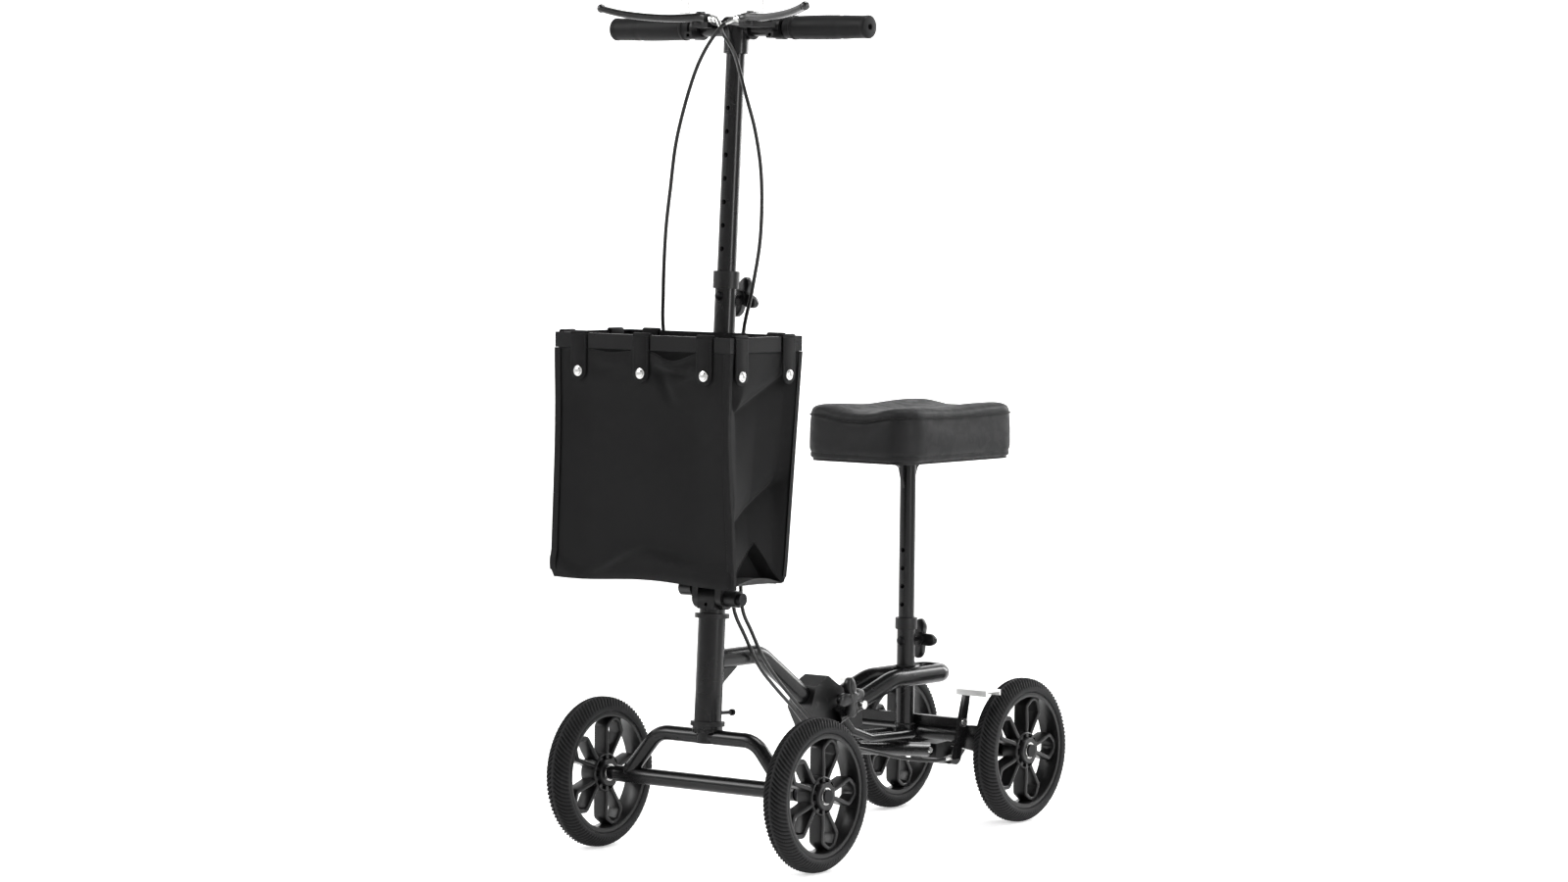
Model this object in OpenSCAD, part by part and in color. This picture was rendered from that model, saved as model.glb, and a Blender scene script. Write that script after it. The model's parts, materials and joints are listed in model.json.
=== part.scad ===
// Steerable four-wheel knee scooter with a folding, telescoping steering column,
// a padded knee seat on a sliding post, twin rear brakes and a front bag.
// X is across (rider's left is +X), Y runs backwards, Z is up.
// Every size below is in millimetres. Places along Y are measured back from the
// front axle, and shifted once, by placed(), to the middle of the whole scooter.

/* [Wheels] */
// Outer diameter of all four tyres
wheel_d = 203.2; // [180:0.1:215]
// Width of a tyre
tyre_w = 35; // [28:1:40]
// Thickness of the solid rubber, from rim to tread
tyre_h = 19.6; // [12:0.1:24]
// Distance between the middles of the two front tyres
front_track = 363; // [330:1:420]
// Distance between the middles of the two rear tyres
rear_track = 221; // [214:1:260]
// Distance from the front axle to the rear axle
wheelbase = 576; // [560:1:640]
// Diameter of the bolt that each wheel turns on
axle_bolt_d = 12; // [10:0.5:14]
// Number of looped spokes in a rim
spokes = 5; // [3:1:7]

/* [Front axle] */
// Outer diameter of the straight axle tube
axle_tube_d = 22; // [18:1:26]
// Outer diameter of the arch above the axle
arch_d = 20; // [16:1:21]
// Height of the arch's middle line above the axle
arch_rise = 62; // [50:1:66]
// Length of the arch's flat top between its bend points
arch_top = 162; // [120:1:190]
// Bend radius of the arch's shoulders
arch_bend_r = 38; // [28:1:45]

/* [Steering] */
// Backward lean of the steering axis, in degrees
rake = 3; // [0:0.5:6]
// Height at which the steering axis crosses the front axle's plane
steer_z = 140; // [130:1:150]
// Outer diameter of the head tube
head_d = 36.5; // [34:0.5:42]
// Length of the head tube
head_len = 137; // [110:1:150]
// Diameter of the steerer inside the head tube
steerer_d = 28.6; // [25:0.1:30]
// Diameter of the two headset cups
cup_d = 46; // [42:1:52]

/* [Column] */
// Outer diameter of the lower column tube
column_d = 28.6; // [27:0.1:32]
// Wall of the column's and the seat's tubes
tube_wall = 1.5; // [1:0.1:2]
// Outer diameter of the sliding upper tube
slider_d = 25.4; // [22:0.1:25.4]
// Length of the lower column tube
column_len = 404; // [360:1:430]
// Length of the sliding upper tube
slider_len = 456; // [440:1:500]
// Height of the handlebar above the ground
bar_z = 1100; // [1080:1:1130]
// Distance from one hole of the upper tube to the next
column_pitch = 31; // [25:1:36]
// Number of holes that show above the collar
column_holes = 7; // [4:1:8]

/* [Handlebar] */
// Diameter of the handlebar tube
bar_d = 22.2; // [20:0.1:25.4]
// Length of the handlebar from grip end to grip end
bar_len = 424; // [400:1:470]
// Length of one grip
grip_len = 134; // [110:1:140]
// Diameter of a grip
grip_d = 32; // [28:1:36]
// Distance of the bar behind the column's axis
bar_setback = 8; // [0:1:12]
// Distance from the middle of the bar to a brake lever's clamp
perch_x = 68; // [64:1:70]

/* [Seat] */
// Outer diameter of the seat tube
seat_tube_d = 25.4; // [24:0.1:30]
// Outer diameter of the seat post
post_d = 22.2; // [20:0.1:22.2]
// Distance of the seat post behind the front axle
seat_y = 452; // [440:1:460]
// Height of the top of the seat tube
seat_tube_top = 290; // [270:1:300]
// Height of the underside of the seat's board
seat_z = 512; // [500:1:540]
// Width of the cushion
cushion_w = 188; // [150:1:220]
// Length of the cushion
cushion_l = 278; // [240:1:300]
// Thickness of the cushion
cushion_h = 70; // [50:1:80]
// How far the board stops inside the cushion's edge
board_inset = 9; // [4:1:30]
// Distance from one hole of the seat post to the next
seat_pitch = 25.4; // [20:0.1:30]

/* [Frame] */
// Diameter of the main tube and of the rear loop
frame_d = 25.4; // [22:0.1:28.6]
// Distance from the middle plane to each side of the rear loop
loop_x = 21; // [18:0.5:24]
// Height of the rear loop's level stretch
loop_z = 209; // [200:1:215]
// Diameter of the lower stay
stay_d = 20; // [16:1:22]
// Diameter of the thin guard tubes
guard_d = 12; // [8:1:14]
// Width of the cast frame bracket
bracket_w = 40; // [34:1:46]
// Diameter of the rear cross tube
cross_d = 22; // [18:1:24]
// Distance of the cross tube behind the front axle
cross_y = 466; // [464:1:470]

/* [Brakes] */
// Thickness of a rear brake arm
arm_t = 6; // [4:0.5:8]
// Distance from the middle plane to a brake arm's outer face
arm_x = 90; // [86:0.5:91]
// Length of the bar that presses on a tyre
brake_bar_l = 50; // [40:1:54]
// Diameter of a brake cable's housing
cable_d = 5; // [4:0.5:6]

/* [Bag] */
// Width of the bag's wire frame
bag_w = 290; // [240:1:320]
// Depth of the bag's frame
bag_d = 153; // [120:1:170]
// Height of the top of the bag's frame
bag_top_z = 699; // [680:1:705]
// Height of the bag itself
bag_h = 302; // [240:1:306]
// Height of the flat bar of the bag's frame
bag_bar_h = 20; // [14:1:26]
// Width of a strap
strap_w = 26; // [18:1:32]

/* [Hidden] */
$fn = 64;

// Clearances
gap = 0.3;        // between faces that pass each other
fit = 0.05;       // radial, between a pin or shaft and its bore
snug = 0.05;      // between pieces that are fixed together

// Heights and places that follow from the sizes above
axle_z = wheel_d / 2;
wheel_r = wheel_d / 2;
rim_r = wheel_r - tyre_h;
hub_w = tyre_w + 1;
bearing_d = 28;
bearing_w = 8;
front_hub_x = front_track / 2 - hub_w / 2;
rear_hub_x = rear_track / 2 - hub_w / 2;
arch_z = axle_z + arch_rise;
strap_t = 2;
snap_h = 3.5;
bag_back_y = 8;
bag_front_y = bag_back_y - bag_d;
origin_y = (wheelbase + wheel_r + bag_front_y - strap_t - gap - snap_h) / 2;

// Distances along the steering axis, from its crossing point
race_s = 30;                      // underside of the lower collar
head_s = 44;                      // bottom of the head tube
cup_t = 6;
spacer_t = 6;
base_s = head_s + head_len + cup_t + spacer_t;   // foot of the folding base
hinge_s = base_s + 15;            // the fold's pivot
ear_r = 15;
lug_w = 28;
ear_t = 9.6;
column_s = hinge_s + 28;          // foot of the lower column tube
collar_l = 23;
collar_s = column_s + column_len - collar_l;
bar_s = (bar_z - steer_z) / cos(rake);
slider_s = bar_s - slider_len;
clamp_s = collar_s - 10;          // the clamp bolt below the collar
bar_y = (bar_z - steer_z) * tan(rake) + bar_setback;

// Seat post
collar_h = 16;
clamp_z = seat_tube_top - 32;
post_bottom_z = 217;
seat_tube_bottom = 121;

// Rear brakes
pivot_z = axle_z + 46.4;
cross_z = pivot_z - 6 - cross_d / 2;
pivot_r = 4;
bar_back = 26;                    // brake bar's middle behind its pivot
bar_deep = 36;                    // brake bar, front to back

// Routes of the two brake cables, from lever to rear brake
left_route = [
    [14, 26.3, 1111], [0, 10, 1096], [-26, -2, 1046], [-50, -10, 960], [-62, -10, 885],
    [-74, -4, 825], [-88, 10, 750], [-92, 18, 690], [-80, 34, 610], [-52, 54, 510],
    [-26, 66, 440], [0, 66, 385], [16, 54, 332], [21, 68, 300], [20, 98, 260],
    [20, 130, 229], [20, 172, 194], [24, 202, 168], [25, 228, 148], [27, 266, 132],
    [36, 318, 118], [54, 372, 104], [76, 418, 98], [81.2, 450, 100]
];
right_route = [
    [-14, 26.3, 1111], [2, 20, 1090], [34, 2, 1064], [62, -10, 1012], [78, -8, 960],
    [85, -4, 900], [81, 0, 825], [64, 6, 757], [40, 18, 690], [32, 36, 600], [24, 54, 500],
    [10, 58, 430], [2, 50, 375], [10, 44, 330], [18, 58, 294], [19, 88, 252],
    [20, 121, 222], [20, 165, 188], [18, 200, 158], [8, 226, 138], [-8, 258, 130],
    [-26, 310, 118], [-52, 372, 104], [-76, 418, 98], [-81.2, 450, 100]
];

// ---------- helpers ----------

// The whole scooter is drawn from the front axle and moved to its middle
module placed() { translate([0, -origin_y, 0]) children(); }

// Local z runs up the steering axis
module steer_frame() { translate([0, 0, steer_z]) rotate([-rake, 0, 0]) children(); }

// Local x runs back, local y up, local z across
module side_plane(x = 0) { translate([x, 0, 0]) rotate([90, 0, 90]) children(); }

module both_sides() { children(); mirror([1, 0, 0]) children(); }

module ring(od, id, h) {
    difference() {
        cylinder(d = od, h = h);
        translate([0, 0, -1]) cylinder(d = id, h = h + 2);
    }
}

// A cylinder from x0 to x1 along X
module across(d, x0, x1) { translate([x0, 0, 0]) rotate([0, 90, 0]) cylinder(d = d, h = x1 - x0); }

// A cylinder from y0 to y1 along Y
module lengthways(d, y0, y1) {
    translate([0, y0, 0]) rotate([-90, 0, 0]) cylinder(d = d, h = y1 - y0);
}

function heading(a, b) = atan2(b[1] - a[1], b[0] - a[0]);
function turn(a, b, c) = let (t = heading(b, c) - heading(a, b)) t > 180 ? t - 360 : t < -180 ? t + 360 : t;
function ease(pts, i, r) = i <= 0 || i >= len(pts) - 1 ? 0
    : r * tan(abs(turn(pts[i - 1], pts[i], pts[i + 1])) / 2);

// A round tube along 2D points, its corners bent to radius r; bore 0 makes it solid.
// Straight and bent lengths are separate closed solids, a hair apart at each seam.
module bent_tube(pts, r, d, bore = 0) {
    translate(pts[0]) rotate([0, 0, heading(pts[0], pts[1])]) tube_leg(pts, r, d, bore, 0);
}

// Leg i and all that follows it, from its start along +X
module tube_leg(pts, r, d, bore, i) {
    l = norm(pts[i + 1] - pts[i]) - ease(pts, i, r) - ease(pts, i + 1, r);
    translate([snug, 0, 0]) rotate([0, 90, 0]) linear_extrude(l - 2 * snug) wall_section(d, bore);
    if (i < len(pts) - 2) {
        a = turn(pts[i], pts[i + 1], pts[i + 2]);
        side = a > 0 ? 1 : -1;
        translate([l, side * r, 0]) {
            rotate([0, 0, a > 0 ? -90 : 90 + a])
                rotate_extrude(angle = abs(a)) translate([r, 0]) wall_section(d, bore);
            rotate([0, 0, a]) translate([0, -side * r, 0]) tube_leg(pts, r, d, bore, i + 1);
        }
    }
}

module wall_section(d, bore) {
    difference() {
        circle(d = d);
        if (bore > 0) circle(d = bore);
    }
}

module bent_rod(pts, r, d) { bent_tube(pts, r, d); }

// A smooth curve through the route's points, in two steps for each stretch
function curve_point(p, i, t) = let (
    a = p[max(i - 1, 0)], b = p[i], c = p[i + 1], d = p[min(i + 2, len(p) - 1)])
    0.5 * (2 * b + (c - a) * t + (2 * a - 5 * b + 4 * c - d) * t * t + (3 * b - a - 3 * c + d) * t * t * t);
function curve(p) = [for (i = [0 : len(p) - 2], t = [0, 0.5]) curve_point(p, i, t), p[len(p) - 1]];
function unit(v) = v / norm(v);

// A tube of eight sides swept along a route
module cable(route) {
    c = curve(route);
    n = len(c);
    sides = 8;
    rings = [for (i = [0 : n - 1])
        let (t = unit(c[min(i + 1, n - 1)] - c[max(i - 1, 0)]),
             u = unit(cross(t, [0.3, 1, 0.1])), v = cross(t, u))
        for (k = [0 : sides - 1]) c[i] + cable_d / 2 * (cos(k * 45) * u + sin(k * 45) * v)];
    faces = concat(
        [[for (k = [0 : sides - 1]) k]],
        [for (i = [0 : n - 2], k = [0 : sides - 1])
            [i * sides + k, (i + 1) * sides + k, (i + 1) * sides + (k + 1) % sides]],
        [for (i = [0 : n - 2], k = [0 : sides - 1])
            [i * sides + k, (i + 1) * sides + (k + 1) % sides, i * sides + (k + 1) % sides]],
        [[for (k = [sides - 1 : -1 : 0]) (n - 1) * sides + k]]);
    polyhedron(points = rings, faces = faces, convexity = 6);
}

// A dome-headed screw along -Y with its seat at y = 0
module dome_screw(head_d, shank_d, shank_l) {
    intersection() {
        translate([0, head_d * 0.35, 0]) sphere(d = head_d * 1.3);
        translate([-head_d, -head_d, -head_d]) cube([2 * head_d, head_d, 2 * head_d]);
        rotate([90, 0, 0]) translate([0, 0, -1]) cylinder(d = head_d, h = head_d);
    }
    lengthways(shank_d, 0, shank_l);
}

// ---------- wheels ----------

// A wheel's pieces are drawn on the X axis, its outer side towards +X
module at_wheel(front, side) {
    x = side * (front ? front_track : rear_track) / 2;
    translate([x, front ? 0 : wheelbase, axle_z]) rotate([0, side > 0 ? 0 : 180, 0]) children();
}

module tyre() {
    shoulder = 8;
    color("#2b2b2b") rotate([0, 90, 0]) rotate_extrude($fn = 128) {
        translate([rim_r, -tyre_w / 2 + 2]) square([tyre_h - shoulder, tyre_w - 4]);
        translate([rim_r + 3, -tyre_w / 2]) square([tyre_h - shoulder - 3, tyre_w]);
        translate([rim_r + 3, -tyre_w / 2 + shoulder]) square([tyre_h - 3, tyre_w - 2 * shoulder]);
        for (s = [-1, 1]) translate([wheel_r - shoulder, s * (tyre_w / 2 - shoulder)]) circle(r = shoulder);
    }
}

// Outline of one looped spoke, pointing along +X
function spoke_outline(g) = [
    [24, -5.5 + g], [34, -8 + g], [54, -17 + g], [66 - g, -13.5 + g], [74 - g, -6 + g],
    [74 - g, 6 - g], [66 - g, 13.5 - g], [54, 17 - g], [34, 8 - g], [24, 5.5 - g]];

module rim() {
    spoke_w = 24;
    wall = 5.5;
    barrel = rim_r - 7;
    color("#161616") {
        rotate([0, 90, 0]) {
            rotate_extrude($fn = 128) {
                translate([barrel, -tyre_w / 2 + 2.5]) square([7 - snug, tyre_w - 5]);
                translate([barrel - 3, -6]) square([4, 12]);
            }
            difference() {
                union() {
                    cylinder(d = 50, h = spoke_w, center = true);
                    cylinder(d = 36, h = hub_w, center = true);
                }
                cylinder(d = 16, h = hub_w + 2, center = true);
                for (s = [-1, 1]) translate([0, 0, s * hub_w / 2])
                    cylinder(d = bearing_d + 2 * snug, h = 2 * bearing_w + 2, center = true);
                for (a = [0 : 36 : 324]) rotate([0, 0, a]) translate([20.8, 0, spoke_w / 2])
                    cylinder(d = 5, h = 8, center = true);
            }
            for (a = [0 : 360 / spokes : 359]) rotate([0, 0, a])
                linear_extrude(spoke_w - 1, center = true) difference() {
                    polygon(spoke_outline(0));
                    intersection() {
                        polygon(spoke_outline(wall));
                        translate([28, -30]) square([60, 60]);
                    }
                }
            for (a = [0 : 360 / spokes : 359]) rotate([0, 0, a])
                translate([73, -5, 1 - spoke_w / 2]) cube([4, 10, spoke_w - 2]);
        }
    }
    color("silver") for (s = [-1, 1])
        translate([s * (hub_w / 2 - bearing_w / 2 - 1), 0, 0]) rotate([0, 90, 0])
            translate([0, 0, -bearing_w / 2]) ring(bearing_d, axle_bolt_d + 2 * fit, bearing_w);
}

// The bolts that a pair of wheels turn on, with their inner spacers and outer washers
module axle_bolts(track, tube_x) {
    hub_in = track / 2 - hub_w / 2;
    hub_out = track / 2 + hub_w / 2;
    color("silver") both_sides() {
        difference() {
            across(18, tube_x + snug, hub_in - gap);
            across(axle_bolt_d + 2 * snug, tube_x - 1, hub_in + 1);
        }
        across(axle_bolt_d, tube_x - 26, hub_out + 1);
        across(18, hub_out + gap - 0.3, hub_out + 3);
    }
}

module front_axle_bolts() { translate([0, 0, axle_z]) axle_bolts(front_track, front_hub_x - 12); }
module rear_axle_bolts() { translate([0, wheelbase, axle_z]) axle_bolts(rear_track, rear_hub_x - 8); }

// ---------- front axle and steerer ----------

module axle_tube() {
    end = front_hub_x - 12;
    color("#141414") translate([0, 0, axle_z]) difference() {
        across(axle_tube_d, -end, end);
        across(axle_bolt_d + 2 * snug, -end - 1, end + 1);
    }
}

function arch_foot_x() = arch_top / 2 + arch_rise * 0.85;

module axle_arch() {
    pts = [[-arch_foot_x(), axle_z], [-arch_top / 2, arch_z], [arch_top / 2, arch_z], [arch_foot_x(), axle_z]];
    color("#141414") difference() {
        rotate([90, 0, 0]) bent_tube(pts, arch_bend_r, arch_d, arch_d - 4);
        translate([0, 0, axle_z]) across(axle_tube_d + 2 * snug, -200, 200);
        translate([-200, -50, 0]) cube([400, 100, axle_z + 3]);
        steer_frame() cylinder(d = steerer_d + 2 * snug, h = 200, center = true);
    }
}

module steerer() {
    top = head_s + head_len + cup_t + spacer_t;
    low = arch_z - steer_z - arch_d / 2 + 1;
    color("#1a1a1a") steer_frame() difference() {
        union() {
            translate([0, 0, low]) cylinder(d = steerer_d, h = top - low);
            translate([0, 0, head_s - 10 - gap]) cylinder(d = 40, h = 4);
            translate([0, 0, head_s + head_len + cup_t + gap]) cylinder(d = 34, h = spacer_t - gap);
        }
        translate([0, 0, low + 12]) cylinder(d = steerer_d - 6, h = top);
    }
}

module head_tube() {
    color("#141414") steer_frame() difference() {
        translate([0, 0, head_s]) ring(head_d, head_d - 5, head_len);
        translate([0, 0, head_s + 10]) lengthways(5 + 2 * fit, 0, head_d);
    }
}

module headset_cups() {
    color("#101010") steer_frame() {
        for (s = [head_s - cup_t - snug, head_s + head_len + snug]) translate([0, 0, s])
            ring(cup_d, steerer_d + 2 * fit, cup_t);
    }
}

// ---------- main frame ----------

main_pts = [[0, 265], [112, 265], [228, 190]];

module main_tube() {
    color("#141414") difference() {
        side_plane() bent_tube(main_pts, 50, frame_d, frame_d - 4);
        steer_frame() cylinder(d = head_d + 2 * snug, h = 400);
    }
}

module head_gusset() {
    under = 265 - frame_d / 2;
    color("#141414") difference() {
        side_plane() linear_extrude(6, center = true)
            polygon([[10, under - snug], [62, under - snug], [34, under - 18], [10, under - 46]]);
        steer_frame() cylinder(d = head_d + 2 * snug, h = 400);
    }
}

// Side view of the cast bracket that joins the main tube to the rear frame
bracket_outline = [
    [204, 184], [216, 214], [244, 226], [264, 214], [300, 196], [322, 172], [324, 152],
    [300, 143], [262, 143], [226, 150]];
stay_pts = [[296, 156], [330, 119], [516, 98]];
loop_pts = [[256, 168], [392, loop_z], [500, loop_z]];

module frame_bracket() {
    color("#1c1c1c") difference() {
        side_plane() linear_extrude(bracket_w, center = true) polygon(bracket_outline);
        side_plane() bent_rod(main_pts, 50, frame_d + 2 * snug);
        side_plane() bent_rod(stay_pts, 40, stay_d + 2 * snug);
        translate([0, knob_y, knob_z]) across(6 + 2 * fit, 0, 60);
    }
}

knob_y = 268;
knob_z = 196;

module loop_side(d, bore = 0) {
    side_plane(loop_x) bent_tube(loop_pts, 90, d, bore);
}

module loop_bow(d, bore = 0) {
    translate([0, 500, loop_z]) rotate_extrude(angle = 180) translate([loop_x, 0]) wall_section(d, bore);
}

module rear_loop() {
    wall = 2;
    color("#141414") difference() {
        union() {
            both_sides() loop_side(frame_d, frame_d - 2 * wall);
            loop_bow(frame_d, frame_d - 2 * wall);
        }
        translate([0, seat_y, 0]) cylinder(d = seat_tube_d + 2 * snug, h = 400);
        side_plane() linear_extrude(bracket_w + 2 * snug, center = true) polygon(bracket_outline);
        side_plane() bent_rod(main_pts, 50, frame_d + 2 * snug);
    }
}

module seat_tube() {
    h = seat_tube_top - collar_h - seat_tube_bottom;
    color("#141414") translate([0, seat_y, seat_tube_bottom]) difference() {
        cylinder(d = seat_tube_d, h = h);
        translate([0, 0, 4]) cylinder(d = seat_tube_d - 2 * tube_wall + 0.2, h = h);
        translate([0, 0, clamp_z - seat_tube_bottom]) lengthways(6 + 2 * fit, -30, 30);
    }
}

module seat_collar() {
    color("#101010") translate([0, seat_y, seat_tube_top - collar_h + snug]) ring(31, post_d + 2 * fit, collar_h);
}

guard_pts = [[272, 172], [300, 146], [344, 132], [seat_y - 8, 129]];

module guard_tubes() {
    x = (seat_tube_d + guard_d) / 2;
    color("#141414") difference() {
        both_sides() side_plane(x) bent_rod(guard_pts, 26, guard_d);
        side_plane() linear_extrude(bracket_w + 2 * snug, center = true) polygon(bracket_outline);
        translate([0, seat_y, 0]) cylinder(d = seat_tube_d + 2 * snug, h = 400);
        both_sides() loop_side(frame_d + 2 * snug);
    }
}

module lower_stay() {
    color("#141414") side_plane() bent_rod(stay_pts, 40, stay_d);
}

module cross_tube() {
    end = arm_x - arm_t - gap;
    color("#141414") difference() {
        union() {
            translate([0, cross_y, cross_z]) across(cross_d, -end, end);
            translate([0, cross_y, cross_z]) across(cross_d + 5, -5, 5);
            translate([-end, cross_y - 5, cross_z]) cube([2 * end, 10, pivot_z - cross_z + 6]);
        }
        translate([0, seat_y, 0]) cylinder(d = seat_tube_d + 2 * snug, h = 400);
        translate([0, cross_y, pivot_z]) both_sides() across(6 + 2 * snug, end - 14, end + 1);
    }
}

// Plates that carry the rear axle behind the cross tube
module rear_arms() {
    plate = 9;
    out = arm_x - arm_t - gap - 1;
    color("#141414") both_sides() difference() {
        translate([out - plate, 0, 0]) rotate([90, 0, 90]) linear_extrude(plate) polygon([
            [cross_y - 8, cross_z - 16], [cross_y + 10, cross_z + 12], [cross_y + 46, cross_z + 8],
            [wheelbase + 6, axle_z + 13], [wheelbase + 14, axle_z], [wheelbase + 6, axle_z - 13],
            [wheelbase - 20, axle_z - 10]]);
        translate([0, cross_y, cross_z]) across(cross_d + 2 * snug, 0, 100);
        translate([0, cross_y - 5 - snug, cross_z]) cube([100, 10 + 2 * snug, 40]);
        translate([0, wheelbase, axle_z]) across(14 + 2 * snug, 0, 100);
    }
}

module rear_axle() {
    end = rear_hub_x - 8;
    color("#1c1c1c") difference() {
        union() {
            translate([0, wheelbase, axle_z]) across(14 + 2, -18, 18);
            side_plane() linear_extrude(30, center = true) polygon([
                [508, 108], [540, 110], [wheelbase + 4, axle_z + 12], [wheelbase + 12, axle_z],
                [wheelbase, axle_z - 12], [560, 76], [540, 76], [508, 88]]);
            translate([0, 550, 88]) across(26, -15, 20);
        }
        translate([0, wheelbase, axle_z]) across(14 + 2 * snug, -40, 40);
        side_plane() bent_rod(stay_pts, 40, stay_d + 2 * snug);
    }
    color("#1c1c1c") translate([0, wheelbase, axle_z]) difference() {
        across(14, -end, end);
        both_sides() across(axle_bolt_d + 2 * snug, end - 27, end + 1);
    }
}

module frame_bolts() {
    color("silver") {
        both_sides() translate([loop_x + frame_d / 2 + snug, 304, 182.5]) across(12, 0, 4);
        both_sides() translate([stay_d / 2 + snug, 498, 100]) across(8, 0, 3);
    }
}

// ---------- fold hinge and column ----------

module hinge_axis() { steer_frame() translate([0, 0, hinge_s]) children(); }

module fold_base() {
    color("#161616") steer_frame() difference() {
        union() {
            translate([0, 0, base_s + snug]) cylinder(d = lug_w, h = 6);
            translate([-lug_w / 2, -ear_r, base_s + snug]) cube([lug_w, 2 * ear_r, hinge_s - base_s]);
            translate([0, 0, hinge_s]) across(2 * ear_r, -lug_w / 2, lug_w / 2);
        }
        translate([0, 0, hinge_s]) across(10 + 2 * fit, -40, 40);
        translate([0, -ear_r, hinge_s - 9]) lengthways(5, -2, 8);
    }
}

module fold_knuckle() {
    in = lug_w / 2 + gap;
    out = in + ear_t;
    color("#161616") hinge_axis() difference() {
        union() {
            for (s = [-1, 1]) {
                translate([s > 0 ? in : -out, 0, 0]) across(2 * ear_r, 0, ear_t);
                translate([s > 0 ? in : -out, -ear_r, 0]) cube([ear_t, 2 * ear_r, 22]);
            }
            translate([-out, -ear_r, 17]) cube([2 * out, 2 * ear_r, 7]);
            translate([0, 0, 20]) cylinder(d = column_d + 6, h = 12);
            translate([out - 0.5, 0, 0]) across(22, 0, 20);
        }
        across(10 + 2 * fit, -50, 60);
        translate([0, latch_y, latch_h]) across(8 + 2 * fit, -60, 0);
        translate([0, 0, 24]) cylinder(d = column_d + 2 * snug, h = 20);
    }
}

latch_y = -4;
latch_h = 11;

module hinge_bolt() {
    in = lug_w / 2 + gap;
    end = in + ear_t + 20 - 0.5;
    color("#2a2a2a") hinge_axis() {
        across(10, -in - ear_t + 0.5, end + 1);
        across(17, end + gap, end + 7);
    }
}

module fold_latch() {
    face = -(lug_w / 2 + gap + ear_t);
    color("#111111") hinge_axis() translate([0, latch_y, latch_h]) {
        across(8, face - 6, face + ear_t - 0.3);
        across(21, face - 24, face - gap - 4);
        across(5, face - 30, face - 24);
    }
}

module column_tube() {
    color("#141414") steer_frame() difference() {
        translate([0, 0, column_s]) cylinder(d = column_d, h = column_len - collar_l - snug);
        translate([0, 0, column_s + 3]) cylinder(d = slider_d + 2 * gap, h = column_len);
        translate([0, 0, clamp_s]) lengthways(6 + 2 * fit, -40, 40);
    }
}

module column_collar() {
    color("#101010") steer_frame() translate([0, 0, collar_s]) ring(35, slider_d + 2 * fit, collar_l);
}

// A clamp bolt: its dome head and the short shank in the near wall
module clamp_bolt(tube_d) {
    translate([0, -tube_d / 2 - snug, 0]) dome_screw(13, 6, tube_wall);
}

module column_bolt() { color("silver") steer_frame() translate([0, 0, clamp_s]) clamp_bolt(column_d); }
module seat_bolt() { color("silver") translate([0, seat_y, clamp_z]) clamp_bolt(seat_tube_d); }

// A four-lobed knob on a stud along +Y, its stud's tip at y = 0
module cross_knob(stud_l, tilt) {
    lobe_r = 28;
    lobe_w = 11;
    thick = 12;
    color("#121212") {
        lengthways(6, 0, stud_l + 1);
        translate([0, stud_l, 0]) rotate([0, tilt, 0]) {
            lengthways(20, 0, 16);
            for (a = [0, 90]) rotate([0, a, 0]) {
                translate([-lobe_r + lobe_w / 2, 3, -lobe_w / 2]) cube([2 * lobe_r - lobe_w, thick - 2, lobe_w]);
                for (s = [-1, 1]) translate([s * (lobe_r - lobe_w / 2), 0, 0])
                    lengthways(lobe_w, 3, 1 + thick);
            }
        }
    }
}

module column_knob() {
    steer_frame() translate([0, column_d / 2 - tube_wall + 0.6, clamp_s]) cross_knob(14, 20);
}
module seat_knob() {
    translate([0, seat_y + seat_tube_d / 2 - tube_wall + 0.4, clamp_z]) cross_knob(14, 4);
}
module frame_knob() {
    translate([bracket_w / 2 - 10, knob_y, knob_z]) rotate([0, 0, -90]) cross_knob(22, 8);
}

module steering_lock() {
    y = head_d / 2 - 2;
    color("#1a1a1a") steer_frame() translate([0, 0, head_s + 10]) {
        lengthways(5, y + 0.3, y + 40);
        lengthways(9, y + 34, y + 38);
    }
}

// ---------- sliding upper tube and handlebar ----------

module slider_tube() {
    color("#141414") steer_frame() difference() {
        translate([0, 0, slider_s]) ring(slider_d, slider_d - 2 * tube_wall, slider_len - bar_d / 2 - 5);
        for (i = [0 : column_holes + 1]) translate([0, 0, clamp_s + i * column_pitch])
            lengthways(6.5, -30, 30);
    }
}

module handlebar() {
    color("#141414") difference() {
        union() {
            translate([0, bar_y, bar_z]) across(bar_d, -bar_len / 2 + 3, bar_len / 2 - 3);
            translate([0, bar_y, bar_z]) across(bar_d + 9, -22, 22);
            steer_frame() translate([0, 0, bar_s - 34]) cylinder(d = slider_d + 8, h = 36);
        }
        steer_frame() translate([0, 0, bar_s - 60]) cylinder(d = slider_d + 2 * snug, h = 60 - bar_d / 2 - 5);
        for (s = [-1, 1]) translate([s > 0 ? 40 : -bar_len / 2, bar_y, bar_z])
            across(bar_d - 4, 0, bar_len / 2 - 40);
    }
}

module grips() {
    inner = bar_len / 2 - grip_len;
    color("#303030") both_sides() translate([0, bar_y, bar_z]) difference() {
        union() {
            across(grip_d - 3, inner, inner + 12);
            across(grip_d, inner + 12, bar_len / 2);
        }
        across(bar_d + 2 * snug, inner - 1, bar_len / 2 - 3 + snug);
        across(8, bar_len / 2 - 5, bar_len / 2 + 1);
    }
}

// The lever's pivot, seen from the middle of the handlebar
pivot_x = 42;
pivot_y = -32;
pivot_h = 13;
perch_w = 12;

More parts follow.
